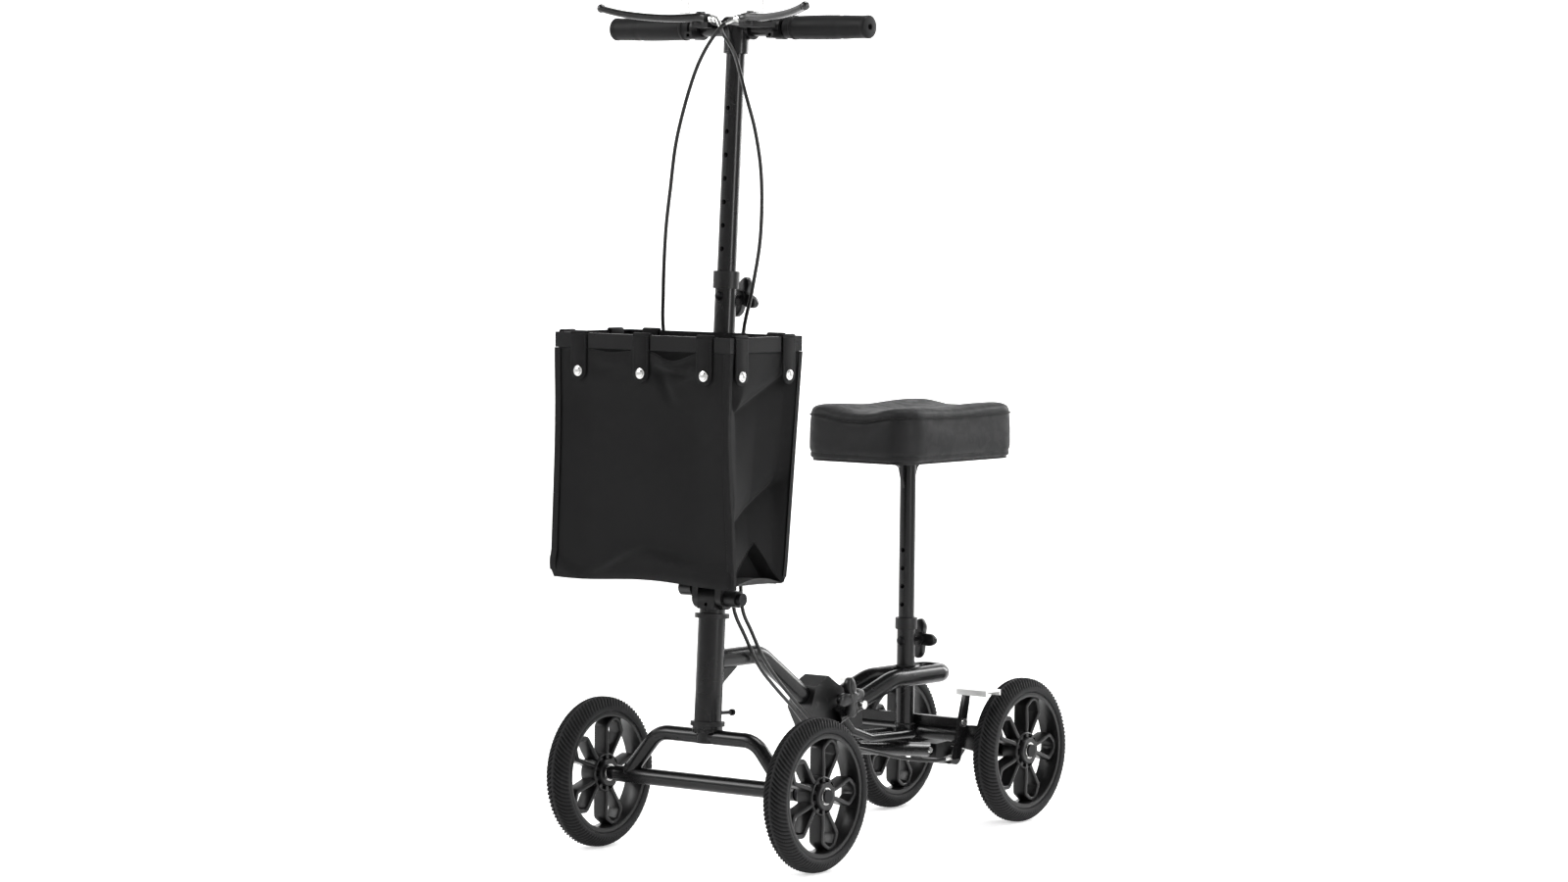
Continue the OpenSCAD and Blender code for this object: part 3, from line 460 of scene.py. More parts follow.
TREADS = 100           # slanted ribs round a tyre


def groove(x, r, a):
    """How deep the tread is cut at x across the tyre, radius r and angle a, 0 to 1."""
    phase = (a * TREADS / (2 * pi) - abs(x) / TYRE_W * 4.8) % 1.0
    cut = ramp(abs(phase - 0.5), 0.40, 0.14)
    return cut * ramp(abs(x), 0.8, 2.4) * ramp(r, RIM_R + 6, RIM_R + 10)


def tyre_rings(centre, side):
    """Rings round the wheel; each ring is the tyre's outline at that angle, its ribs cut in."""
    half = TYRE_W / 2
    outline = [(-half + 2.2, RIM_R + 0.3), (-half + 0.5, RIM_R + 1.6), (-half, RIM_R + 4)]
    steps = 26
    for k in range(steps + 1):
        t = -1 + 2 * k / steps
        edge = abs(t) ** 3.6
        outline.append((t * (half - 0.25 * (1 - edge)), WHEEL_R - 0.3 - 12.0 * edge))
    outline += [(half, RIM_R + 4), (half - 0.5, RIM_R + 1.6), (half - 2.2, RIM_R + 0.3)]
    rings, count = [], TREADS * 6
    for i in range(count):
        a = 2 * pi * i / count
        ring = []
        for x, r in outline:
            q = r - 2.4 * groove(x, r, a)
            ring.append(centre + Vector((side * x, q * cos(a), q * sin(a))) / 1000)
        rings.append(ring)
    return rings


for end, x, y in (("front", 181.5, 0.0), ("rear", 110.5, WHEELBASE)):
    for side, way in (("left", 1), ("right", -1)):
        label = "%s_%s" % (end, side)
        verts, faces = skin(tyre_rings(at(way * x, y, AXLE_Z), way), closed=True)
        tyre = piece("tyre with tread " + label, verts, faces, "wheel_" + label, TYRE, angle=50,
                     merge=False)
        # each point keeps how deep its groove is cut, which sets the painted shade in the grooves and the painted
        # light on the ribs
        depth = tyre.data.attributes.new("groove", "FLOAT", "POINT")
        hub = at(way * x, y, AXLE_Z)
        for v in tyre.data.vertices:
            p = (v.co - hub) * 1000
            depth.data[v.index].value = groove(p.x, hypot(p.y, p.z) + 2.0, atan2(p.z, p.y))
        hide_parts("tyre_" + label)

# ---------------------------------------------------------------- rims

SPOKES = 5


def add(verts, faces, more):
    """Adds another closed shell to a mesh's lists."""
    v, f = more
    faces += [tuple(k + len(verts) for k in face) for face in f]
    verts += v


def spoke_loop(centre, way, turn):
    """One looped spoke: a band with rounded edges that leaves the hub, turns at the barrel and comes back."""
    half = [(21.5, 4.6), (33, 7.4), (45, 11.6), (56, 15.4), (59.5, 16.0), (62.5, 14.8), (69, 9.6), (72.4,
            6.4), (74.2, 0)]
    line = [Vector((u, -v, 0)) for u, v in half[:-1]] + [Vector((u, v, 0)) for u, v in half[::-1]]
    path, rings = smooth_path(line, 4), []
    for i, p in enumerate(path):
        t = (path[min(i + 1, len(path) - 1)] - path[max(i - 1, 0)]).normalized()
        out = Vector((t.y, -t.x, 0))
        deep = mix(11.4, 10.6, ramp(p.x, 30, 70))
        ring = []
        for k in range(20):
            a = 2 * pi * k / 20
            c, d = cos(a), sin(a)
            q = p + out * (3.3 * (abs(c) ** 0.55) * (1 if c > 0 else -1))
            x = deep * (abs(d) ** 0.28) * (1 if d > 0 else -1)
            y, z = q.x * cos(turn) - q.y * sin(turn), q.x * sin(turn) + q.y * cos(turn)
            ring.append(centre + Vector((x, y, z)) / 1000)
        rings.append(ring)
    return skin(rings)


def rim(label, centre, way):
    verts, faces = [], []
    barrel = [(-14.8, 75.6), (-15.2, 76.6), (-15.2, 81.2), (-14.6, 82.0), (14.6, 82.0), (15.2, 81.2),
              (15.2, 76.6),
              (14.8, 75.6), (12.0, 75.2), (3.5, 74.0), (-3.5, 74.0), (-12.0, 75.2)]
    add(verts, faces, skin(turned(barrel, centre, (way, 0, 0), 120), closed=True))
    # the hub, a ring of pockets in each of its faces
    hub = [(-18, 11.9, 0), (-18, 17.4, 0), (-17.2, 18.2, 0), (-13.0, 18.6, 0), (-13.0, 19.0, 1), (-13.0,
                                                                                                  23.4, 1),
           (-13.0, 23.9, 0), (-12.2, 25.2, 0), (-10.5, 26.0, 0)]
    hub += [(-x, r, cut) for x, r, cut in hub[::-1]]
    rings = []
    for x, r, cut in hub:
        ring = []
        for k in range(160):
            a = 2 * pi * k / 160
            pocket = 4.5 * ramp(cos(10 * a), -0.35, 0.05) if cut else 0.0
            deep = x - pocket * (1 if x > 0 else -1)
            ring.append(centre + Vector((way * deep, r * cos(a), r * sin(a))) / 1000)
        rings.append(ring)
    add(verts, faces, skin(rings, closed=True))
    for k in range(SPOKES):
        turn = 2 * pi * k / SPOKES
        add(verts, faces, spoke_loop(centre, way, turn))
    obj = piece("rim " + label, verts, faces, "wheel_" + label, RIM, angle=42, merge=False)
    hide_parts("rim_" + label)
    verts, faces = [], []
    race = [(6.3, 17.2), (8.4, 17.2), (8.8, 16.6), (9.6, 16.6), (10.0, 17.5), (11.5, 17.7), (11.8, 17.3),
            (11.8, 9.5), (6.3, 9.5)]
    for face in (1, -1):
        add(verts, faces, skin(turned([(x, r) for r, x in race], centre, (face, 0, 0), 48), closed=True))
    piece("wheel bearings " + label, verts, faces, "wheel_" + label, STEEL, angle=30, merge=False)


for end, x, y in (("front", 181.5, 0.0), ("rear", 110.5, WHEELBASE)):
    for side, way in (("left", 1), ("right", -1)):
        rim("%s_%s" % (end, side), at(way * x, y, AXLE_Z), way)

# ---------------------------------------------------------------- grips

def handle_grips():
    """Rubber grips: a collar, a swelling palm, a shut line two thirds out, and a vented end."""
    verts, faces = [], []
    inner = BAR_HALF - GRIP_LEN
    profile = [(inner, 11.3), (inner, 13.2), (inner + 1, 14.4), (inner + 10, 14.7), (inner + 11.3, 15.0),
               (inner + 12, 16.0), (inner + 15, 16.0), (inner + 16, 15.2)]
    for k in range(29):
        t = k / 28
        x = mix(inner + 17, BAR_HALF - 6, t)
        r = 15.3 + 0.7 * sin(pi * min(1, t * 1.25)) - 0.5 * ramp(t, 0.7, 1.0)
        profile.append((x, r - (0.55 if k in (18,) else 0.0)))
    profile += [(BAR_HALF - 5, 15.3), (BAR_HALF - 1.6, 15.2), (BAR_HALF - 0.4, 14.4), (BAR_HALF, 12.8),
                (BAR_HALF, 4.6), (BAR_HALF - 0.6, 4.0), (BAR_HALF - 7, 3.8), (BAR_HALF - 7, 0.6)]
    for way in (1, -1):
        add(verts, faces, skin(turned(profile, at(0, BAR_Y, BAR_Z), (way, 0, 0), 56)))
    obj = piece("handle grips", verts, faces, "slider", GRIP, angle=42)
    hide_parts("grips")


handle_grips()

# ---------------------------------------------------------------- brake levers

def lever(side, way):
    """A curved blade, broad at the pivot, that rises to a ball at its tip."""
    line = [Vector(p) for p in ((31, -31.5, -1.2), (42, -33, 0), (56, -40, -0.5), (80, -51, -1.0), (108,
                                                                                                    -62, 0.5),
                                (134, -71.5, 3.5), (152, -78, 7.0), (167, -83.5, 11.0))]
    path, rings = smooth_path(line, 6), []
    for i, p in enumerate(path):
        t = (path[min(i + 1, len(path) - 1)] - path[max(i - 1, 0)]).normalized()
        out = Vector((t.y, -t.x, 0)).normalized()
        up = out.cross(t).normalized()
        up = up if up.z > 0 else -up
        s = i / (len(path) - 1)
        wide = mix(9.2, 6.0, ramp(s, 0.08, 0.72))
        tall = mix(6.6, 5.3, ramp(s, 0.10, 0.50)) * mix(1.0, 0.86, s)
        ring = []
        for k in range(20):
            a = 2 * pi * k / 20
            c, d = cos(a), sin(a)
            q = p + out * wide * (abs(c) ** 0.6) * (1
                                                    if c > 0 else -1) + up * (tall * (abs(d) ** 0.6) * (1
                                                            if d > 0 else -1))
            ring.append(at(way * q.x, BAR_Y + q.y, BAR_Z + 13.2 + q.z))
        rings.append(ring)
    verts, faces = skin(rings)
    add(verts, faces, skin(turned([(6 * -cos(pi * k / 14), 0.05 + 6 * sin(pi * k / 14)) for k in range(15)],
                                  at(way * 169, BAR_Y - 84, BAR_Z + 25.0), (0, 0, 1), 28)))
    # the pivot's cap and the clip that holds the cable's end
    add(verts, faces, skin(turned([(-8, 0.5), (-8, 6.2), (-7, 7.2), (6.4, 7.2), (7.2, 6.4), (7.2, 4.0),
                                   (6.2, 3.8), (6.2, 0.5)],
                                  at(way * 42, BAR_Y - 32, BAR_Z + 13), (0, 0, 1), 28)))
    obj = piece("brake lever blade " + side, verts, faces, "lever_" + side, POLISHED, angle=50,
                merge=False)
    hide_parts("brake_lever_" + side)


lever("left", 1)
lever("right", -1)

# ---------------------------------------------------------------- four-lobed knobs

def lobed_knob(name, node, body, foot, axis, tilt, reach=28.0, thick=12.0):
    """A hand knob of four rounded lobes on a hub, its stud's end at foot."""
    axis = Vector(axis).normalized()
    u = Matrix.Rotation(tilt, 3, axis) @ (Vector((1, 0, 0)) if abs(axis.x) < 0.9 else Vector((0, 0, 1)))
    u = (u - axis * u.dot(axis)).normalized()
    v = axis.cross(u)
    count, rings = 96, []
    profile = [(3.0, 0.90), (3.4, 0.96), (5.0, 1.0), (thick - 1.5, 1.0), (thick + 0.2, 0.95),
               (thick + 1.4, 0.82),
               (thick + 2.0, 0.60), (thick + 2.6, 0.42), (thick + 3.8, 0.34), (thick + 4.0, 0.10)]
    for along, scale in profile:
        ring = []
        for k in range(count):
            a = 2 * pi * k / count
            lobe = abs(cos(2 * a)) ** 1.5
            r = mix(11.5, reach, lobe) if cos(4 * a) > -2 else reach
            r = min(r * scale, r - (1 - scale) * 9) if scale > 0.5 else 11.5 * scale * 1.6
            ring.append(foot + axis * (along / 1000) + (u * cos(a) + v * sin(a)) * (r / 1000))
        rings.append(ring)
    verts, faces = skin(rings)
    stem = turned([(-14, 2.95), (-0.2, 2.95), (0, 9.2), (3.2, 9.6)], foot, axis, 32)
    s, f = skin(stem)
    faces += [tuple(k + len(verts) for k in face) for face in f]
    verts += s
    obj = piece(name, verts, faces, body, KNOB, angle=35, merge=False)
    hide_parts(node)


CLAMP = 607.0
lobed_knob("column hand knob", "column_knob", "column_knob", up_column(CLAMP, 0, 13.4 + 14),
           (0, cos(RAKE), -sin(RAKE)), radians(20))
lobed_knob("seat hand knob", "seat_knob", "seat_knob", at(0, 452 + 11.6 + 14, 258), (0, 1, 0), radians(4))
lobed_knob("frame hand knob", "frame_knob", "frame_knob", at(10 + 22, 268, 196), (1, 0, 0), radians(8))

# ---------------------------------------------------------------- brake cables

LEFT_ROUTE = [(14.3, 26.3, 1111), (0, 10, 1096), (-26, -2, 1046), (-50, -10, 960), (-62, -10, 885), (-74,
                                                                                                     -4, 825),
              (-88, 10, 750), (-92, 18, 690), (-80, 34, 610), (-52, 54, 510), (-26, 66, 440), (0, 66, 385),
              (16, 54, 332), (21, 68, 300), (20, 98, 260), (20, 130, 229), (20, 172, 194), (24, 202, 168),
              (25, 228, 148), (27, 266, 132), (36, 318, 118), (54, 372, 104), (76, 418, 98), (81.2, 450, 100)]
RIGHT_ROUTE = [(-14.3, 26.3, 1111), (2, 20, 1090), (34, 2, 1064), (62, -10, 1012), (78, -8, 960), (85, -4,
                                                                                                   900),
               (81, 0, 825), (64, 6, 757), (40, 18, 690), (32, 36, 600), (24, 54, 500), (10, 58, 430), (2,
                       50, 375),
               (10, 44, 330), (18, 58, 294), (19, 88, 252), (20, 121, 222), (20, 165, 188), (18, 200, 158),
               (8, 226, 138), (-8, 258, 130), (-26, 310, 118), (-52, 372, 104), (-76, 418, 98), (-81.2,
                                                                                                 450, 100)]


def brake_cable(side, route):
    """One housing, in lengths cut at given heights; a length within one body rides on it, and a length across a
    joint stays where it is.
    """
    path = smooth_path([at(*p) for p in route], 8)
    cuts = [("slider", "column", 700), ("column", None, 415), ("column", "fork", 340), ("fork", "frame", 262),
            ("frame", None, -1)]
    first = 0
    for number, (a, b, low) in enumerate(cuts):
        last = first
        while last < len(path) - 1 and path[last].z > low / 1000:
            last += 1
        length = path[first:last + 1]
        verts, faces = skin(swept(length, 2.5))
        name = "cable housing %s %d" % (side, number + 1)
        obj = piece(name, verts, faces, None if b else a, HOUSING, angle=60)
        if b:
            start, stop = length[0].copy(), length[-1].copy()
            if number == 0:
                start = length[6].copy()
            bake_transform(obj)
        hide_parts("brake_cable_" + side)
        first = last
    for where, towards, body in ((path[0], path[5], "slider"), (path[-1], path[-6], "frame")):
        cap = turned([(-0.3, 2.7), (0, 3.3), (9, 3.3), (10.5, 2.8), (14, 2.6)], where, towards - where, 20)
        verts, faces = skin(cap)
        piece("cable ferrule %s %s" % (side, body), verts, faces, body, STEEL, merge=False)


brake_cable("left", LEFT_ROUTE)
brake_cable("right", RIGHT_ROUTE)

# ---------------------------------------------------------------- seat cushion

PAD_X, PAD_Y = 92.6, 137.6
PAD_R = 36.0
PAD_TOP = 68.0
PUFF = 1.6             # the most that the cover swells
FIRM = 16              # how far the firm foam spreads each swelling


def pad_top(x, y):
    """Height of the pad's top above its base: a shallow channel between two raised sides."""
    side = ramp(abs(x), 10, 66)
    crest = 2.2 * side * (0.6 * ramp(y, -40, 90) + 0.4 * exp(-((y + 95) / 42) ** 2))
    channel = -7.0 * (1 - side) * mix(1.0, 0.55, ramp(y, -60, 120))
    waist = -1.6 * side * exp(-((y + 10) / 55) ** 2)
    return PAD_TOP - 2.2 + channel + crest + waist


def pad_edge(t, grow=0.0):
    """The pad's outline at t, 0 to 1 round it: straight sides and round corners."""
    r = PAD_R + grow
    w, l = PAD_X - PAD_R, PAD_Y - PAD_R
    arc = pi * r / 2
    d = (t % 1.0) * (4 * w + 4 * l + 4 * arc)
    for cx, cy, ax, ay in ((1, 1, 1, 0), (-1, 1, 0, 1), (-1, -1, -1, 0), (1, -1, 0, -1)):
        run = 2 * l if ax else 2 * w
        if d < run:
            k = d / run * 2 - 1
            return (ax * (w + r), ax * k * l) if ax else (-ay * k * w, ay * (l + r))
        d -= run
        if d < arc:
            a = d / r + atan2(ay, ax)
            return cx * w + r * cos(a), cy * l + r * sin(a)
        d -= arc
    return w + r, -l


def cushion():
    count, rings = 160, []
    levels = [(0.0, -5.0, 0.0), (0.0, -1.6, 0.0), (1.2, -0.6, 0.0), (6, -0.4, 0.0), (18, -0.4, 0.0), (34,
            -0.3, 0.0),
              (48, -0.8, 0.0), (0.0, -1.0, 9.0), (0.0, -2.2, 4.4), (0.0, -4.6, 1.6), (0.0, -8.0, 0.4)]
    for z, grow, below in levels:
        ring = []
        for k in range(count):
            x, y = pad_edge(k / count, grow)
            h = z if not below else pad_top(x, y) - below
            ring.append(at(x, SEAT_Y + y, SEAT_BASE + 0.6 + h))
        rings.append(ring)
    for shrink in (0.86, 0.76, 0.64, 0.52, 0.40, 0.28, 0.16, 0.06):
        ring = []
        for k in range(count):
            x, y = pad_edge(k / count)
            x, y = x * shrink, y * shrink
            ring.append(at(x, SEAT_Y + y, SEAT_BASE + 0.6 + pad_top(x, y)))
        rings.append(ring)
    verts, faces = skin(rings)
    pad = piece("seat cushion", verts, faces, None, VINYL)
    mod = pad.modifiers.new("remesh", "REMESH")
    mod.mode, mod.voxel_size, mod.use_smooth_shade = "VOXEL", 0.0045, True
    ease = pad.modifiers.new("ease", "SMOOTH")
    ease.factor, ease.iterations = 0.5, 7
    apply_modifiers(pad)
    rest = [v.co.copy() for v in pad.data.vertices]
    base = at(0, 0, SEAT_BASE + 0.6).z
    pins = pad.vertex_groups.new(name="held")
    pins.add([v.index for v in pad.data.vertices if v.co.z < base + 0.004], 1.0, "REPLACE")
    cloth = pad.modifiers.new("cloth", "CLOTH")
    s = cloth.settings
    s.quality, s.mass = 6, 0.3
    s.use_pressure, s.uniform_pressure_force = True, 4.0
    s.vertex_group_mass = "held"
    s.effector_weights.gravity = 0
    scene = bpy.context.scene
    for number in range(1, 21):
        scene.frame_set(number)
    graph = bpy.context.evaluated_depsgraph_get()
    puffed = [v.co.copy() for v in pad.evaluated_get(graph).data.vertices]
    pad.modifiers.clear()
    scene.frame_set(1)
    moves = [b - a for a, b in zip(rest, puffed)]
    beside = [[] for v in rest]
    for edge in pad.data.edges:
        a, b = edge.vertices
        beside[a].append(b)
        beside[b].append(a)
    for again in range(FIRM):
        moves = [(m + sum((moves[k] for k in near), Vector())) / (1 + len(near))
                 for m, near in zip(moves, beside)]
    for v, a, move in zip(pad.data.vertices, rest, moves):
        v.co = a + move * min(0.5, PUFF / 1000 / max(move.length, 1e-9))
    pad.vertex_groups.clear()
    for v in pad.data.vertices:
        x, y = v.co.x * 1000, v.co.y * 1000 + BACK - SEAT_Y
        h = v.co.z * 1000 - SEAT_BASE - 0.6
        seam = pad_top(x * 0.97, y * 0.97) - 13.0
        w, l = PAD_X - PAD_R, PAD_Y - PAD_R
        rim = max(abs(x) / PAD_X, abs(y) / PAD_Y, hypot(max(0, abs(x) - w), max(0, abs(y) - l)) / PAD_R)
        near = exp(-((h - seam) / 1.7) ** 2) * ramp(rim, 0.86, 0.95)
        flat = Vector((max(0, abs(x) - w) * (1 if x > 0 else -1), max(0,
                                                                      abs(y) - l) * (1 if y > 0 else -1), 0))
        if flat.length > 0:
            v.co -= flat.normalized() * near * 0.0013
    pad.data.update()
    sub = pad.modifiers.new("smooth", "SUBSURF")
    sub.levels = sub.render_levels = 1
    apply_modifiers(pad)
    pad.data.shade_smooth()
    pad.data.materials.clear()
    pad.data.materials.append(VINYL.material)
    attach(pad, "seat")
    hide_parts("seat_cushion")
    # the vinyl is drawn down over the board's edge
    rings = []
    for k in range(200):
        ring = []
        for grow, z in ((-5.6, 8), (-3.6, 4), (-2.6, 0), (-2.6, -3), (-3.4, -5.0), (-5.2, -5.8), (-7.0,
                -4.6), (-7.6, 2)):
            x, y = pad_edge(k / 200, grow)
            ring.append(at(x, SEAT_Y + y, SEAT_BASE + 0.3 + z))
        rings.append(ring)
    verts, faces = skin(rings, closed=True)
    piece("cushion hem", verts, faces, "seat", VINYL, angle=60)
    seam, row = [], []
    for k in range(241):
        x, y = pad_edge(k / 240, -1.3)
        z = SEAT_BASE + 0.6 + pad_top(x * 0.97, y * 0.97) - 13.0
        seam.append(at(x, SEAT_Y + y, z))
        row.append(at(x, SEAT_Y + y, z + 2.6))
    verts, faces = skin(swept(seam[:-1] + seam[:1], 0.8, 8))
    piece("cushion seam cord", verts, faces, "seat", BINDING, merge=False)
    repeated("cushion stitching", [row], 3.8, STITCH, THREAD, "seat")


cushion()

# ---------------------------------------------------------------- bag

def bag_rear(z):
    """Where the bag's back panel stands at that height."""
    return BAG_REAR - BAG_TAPER * (BAG_TOP - z) / (BAG_TOP - BAG_LOW)


def front_half(way, z):
    """Half the front panel's width at that height: it spreads towards its foot."""
    low = (BAG_TOP - z) / (BAG_TOP - BAG_LOW)
    return BAG_HALF - 1.5 * ramp(low, 0.0, 0.25) + (11.0 if way > 0 else 5.0) * ramp(low, 0.30, 1.05)


def gusset_depth(s, z):
    """How far inside the foot's triangular tuck a point of a side panel is, 0 outside it."""
    reach = 1 - (z - BAG_LOW) / 56.0
    centre = 0.57
    return max(0.0, reach - abs(s - centre) / (centre - 0.03 if s < centre else 0.97 - centre))


def bag_point(u, z):
    """The bag's skin at u, 0 to 4 round its four panels from the front's right corner, at height z."""
    rear, front = bag_rear(z), BAG_FRONT
    depth = rear - front
    low = (BAG_TOP - z) / (BAG_TOP - BAG_LOW)
    panel, t = int(u) % 4, u - int(u)
    ripple = noise.noise(Vector((u * 1.7, z * 0.011, 3.1)))
    if panel == 0:
        x = mix(-front_half(-1, z), front_half(1, z), t)
        belly = ramp(min(t, 1 - t), 0.0, 0.22)
        held = 1 - ramp(z, 600, 645)
        y = front + belly * (3.2 + 2.4 * ripple) * held
        # the foot bulges below one long wave, and the hem droops between its straps
        wave = BAG_LOW + 34 + 13 * sin(x / 43 + 0.6) + 7 * sin(x / 24 + 2.0)
        y -= 9.0 * ramp(wave - z, -2, 15) * mix(0.30, 1.0, belly) * ramp(z, BAG_LOW - 14, BAG_LOW + 12)
        droop = sin(pi * min(1, max(0, (x - 6) / 92))) ** 2 + 0.3 * sin(pi * min(1, max(0,
                                                                                        (-x - 8) / 88))) ** 2
        y -= 6.5 * droop * exp(-((z - 667) / 8.0) ** 2)
        y += 7.0 * droop * exp(-((z - 650) / 9.0) ** 2)
        y += 4.0 * exp(-((x - 34 + (z - 640) * 0.5) / 8) ** 2) * exp(-((z - 636) / 20) ** 2)
        z -= 11.0 * droop * ramp(z, 640, BAG_TOP)
        corner = min(1.0, min(x + front_half(-1, z), front_half(1, z) - x) / 9.0)
        z += 9.0 * (1 - sqrt(max(0.0, 1 - (1 - corner) ** 2))) * (1 - ramp(z, BAG_LOW, BAG_LOW + 30))
        z += (2.6 * sin(x / 40 + 1.2) + 2.6) * (1 - ramp(z, BAG_LOW, BAG_LOW + 60))
        return Vector((x, y, z))
    if panel == 2:
        x = mix(BAG_HALF - 3 * low, -BAG_HALF + 3 * low, t)
        belly = ramp(min(t, 1 - t), 0.0, 0.25)
        corner = min(1.0, min(x + BAG_HALF - 3 * low, BAG_HALF - 3 * low - x) / 9.0)
        z += 9.0 * (1 - sqrt(max(0.0, 1 - (1 - corner) ** 2))) * (1 - ramp(z, BAG_LOW, BAG_LOW + 30))
        return Vector((x, rear - belly * (3.0 + 2.0 * ripple) * (1 - ramp(z, 600, 645)), z))
    way = 1 if panel == 1 else -1
    s = t if panel == 1 else 1 - t                       # 0 at the front edge, 1 at the rear edge
    edge = ramp(s, 0.0, 0.05) * ramp(1 - s, 0.0, 0.16)
    x = mix(front_half(way, z), BAG_HALF - 3 * low, s)
    fold = max(0.0, 1 - abs(s - 0.5) / 0.5)
    inset = 7.0 * ramp(low, 0.05, 0.6) * fold ** 0.8 + 6.0 * ramp(low, 0.12, 0.5) * edge
    # the panel buckles in two folds, each a V whose long arm climbs to the rear edge
    for foot, where, front_rise, rear_rise, deep in ((602, 0.22, 44, 56, 13.0), (448, 0.17, 95, 68, 15.0)):
        valley = foot + (rear_rise * (s - where) / (1 - where)
                         if s > where else front_rise * (where - s) / where)
        above = z - valley
        inset += deep * edge * (exp(-above / 15) if above > 0 else exp(above / 46))
    inset += 20.0 * ramp(gusset_depth(s, z), 0.0, 0.10)
    corner = min(1.0, (1 - s) * depth / 9.0)
    z += 9.0 * (1 - sqrt(max(0.0, 1 - (1 - corner) ** 2))) * (1 - ramp(z, BAG_LOW, BAG_LOW + 30))
    return Vector((way * (x - inset - 0.8 * abs(ripple)), front + depth * s, z))


def bag_shell():
    per, tall = 60, 120
    us = [p + k / per for p in range(4) for k in range(per)]
    rings = []
    for j in range(tall + 1):
        z = mix(BAG_LOW, BAG_TOP, j / tall)
        ring = []
        for u in us:
            ring.append(at(*bag_point(u, z)))
        rings.append(ring)
    n = len(us)
    verts, faces = [v for r in rings for v in r], []
    for j in range(tall):
        a, b = j * n, (j + 1) * n
        faces += [(a + k, a + (k + 1) % n, b + (k + 1) % n, b + k) for k in range(n)]
    base = len(verts)
    for i in range(per + 1):
        for k in range(per + 1):
            front, rear = rings[0][k], rings[0][3 * per - k] if k else rings[0][3 * per]
            p = front.lerp(rear, i / per)
            p.z += 0.010 * sin(pi * i / per) * (0.4 + 0.6 * abs(k / per - 0.5) * 2)
            if k == 0:
                p = rings[0][(4 * per - i) % n].copy()
            if k == per:
                p = rings[0][per + i].copy()
            verts.append(p)
    for i in range(per):
        for k in range(per):
            a = base + i * (per + 1) + k
            faces.append((a, a + 1, a + per + 2, a + per + 1))
    obj = piece("bag shell", verts, faces, None, NYLON, angle=45)
    wall = obj.modifiers.new("wall", "SOLIDIFY")
    wall.thickness, wall.offset = 0.0013, -1.0
    apply_modifiers(obj)
    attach(obj, "column")
    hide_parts("bag")
    return rings, per


def ribbon(path, face, wide, thick):
    """Rings of a flat strip along path; face(i) is its outward direction."""
    rings = []
    for i, p in enumerate(path):
        t = (path[min(i + 1, len(path) - 1)] - path[max(i - 1, 0)]).normalized()
        out = face(i)
        out = (out - t * out.dot(t)).normalized()
        cross = t.cross(out)
        w, h = wide / 2000, thick / 2000
        rings.append([p + cross * a * w + out * b * h for a, b in
                      ((-1, -0.5), (-0.97, -1), (0.97, -1), (1, -0.5), (1, 0.5), (0.97, 1), (-0.97, 1),
                       (-1, 0.5))])
    return rings


bag_rings, PER = bag_shell()


def bindings():
    """Tape over the four upright edges, with a row of stitches beside each."""
    verts, faces, rows = [], [], []
    for corner, (fx, fy) in ((0, (-1, -1)), (1, (1, -1)), (2, (1, 1)), (3, (-1, 1))):
        path = [ring[corner * PER] + Vector((0, fy * 0.0004, 0)) for ring in bag_rings]
        out = Vector((0, fy, 0))
        for shift, wide in ((Vector((-fx * 0.0045, 0, 0)), 10.0),):
            v, f = skin(ribbon([p + shift + out * 0.0006 for p in path], lambda i: out, wide, 1.1))
            faces += [tuple(k + len(verts) for k in face) for face in f]
            verts += v
        side = Vector((fx, 0, 0))
        v, f = skin(ribbon([p - out * 0.0030 + side * 0.0002 for p in path], lambda i: side, 6.0, 1.0))
        faces += [tuple(k + len(verts) for k in face) for face in f]
        verts += v
        rows.append([p + Vector((-fx * 0.0080, fy * 0.0013, 0)) for p in path[1:-1]])
    # the tuck's two creased edges, on each side
    for way in (1, -1):
        line = []
        for k in range(41):
            s = mix(0.05, 0.95, k / 40)
            z = BAG_LOW + 56.0 * (1 - abs(s - 0.57) / (0.54 if s < 0.57 else 0.40))
            q = bag_point(1 + s if way > 0 else 4 - s, max(BAG_LOW, z))
            line.append(at(q.x + way * 0.4, q.y, q.z))
        add(verts, faces, skin(swept(line, 0.55, 8)))
    piece("bag edge binding", verts, faces, "column", BINDING, angle=30, merge=False)
    repeated("bag edge stitching", rows, 3.6, STITCH, THREAD, "column")


bindings()


def snap_rings(where, out):
    """A domed snap with a rim, standing on its strap."""
    dome = [(0.0, 6.6), (0.5, 7.0), (1.0, 6.8), (1.3, 5.6), (1.5, 5.2), (2.3, 4.9), (3.0, 3.7), (3.35,
            2.0), (3.45, 0.1)]
    return turned(dome, where, out, 32)


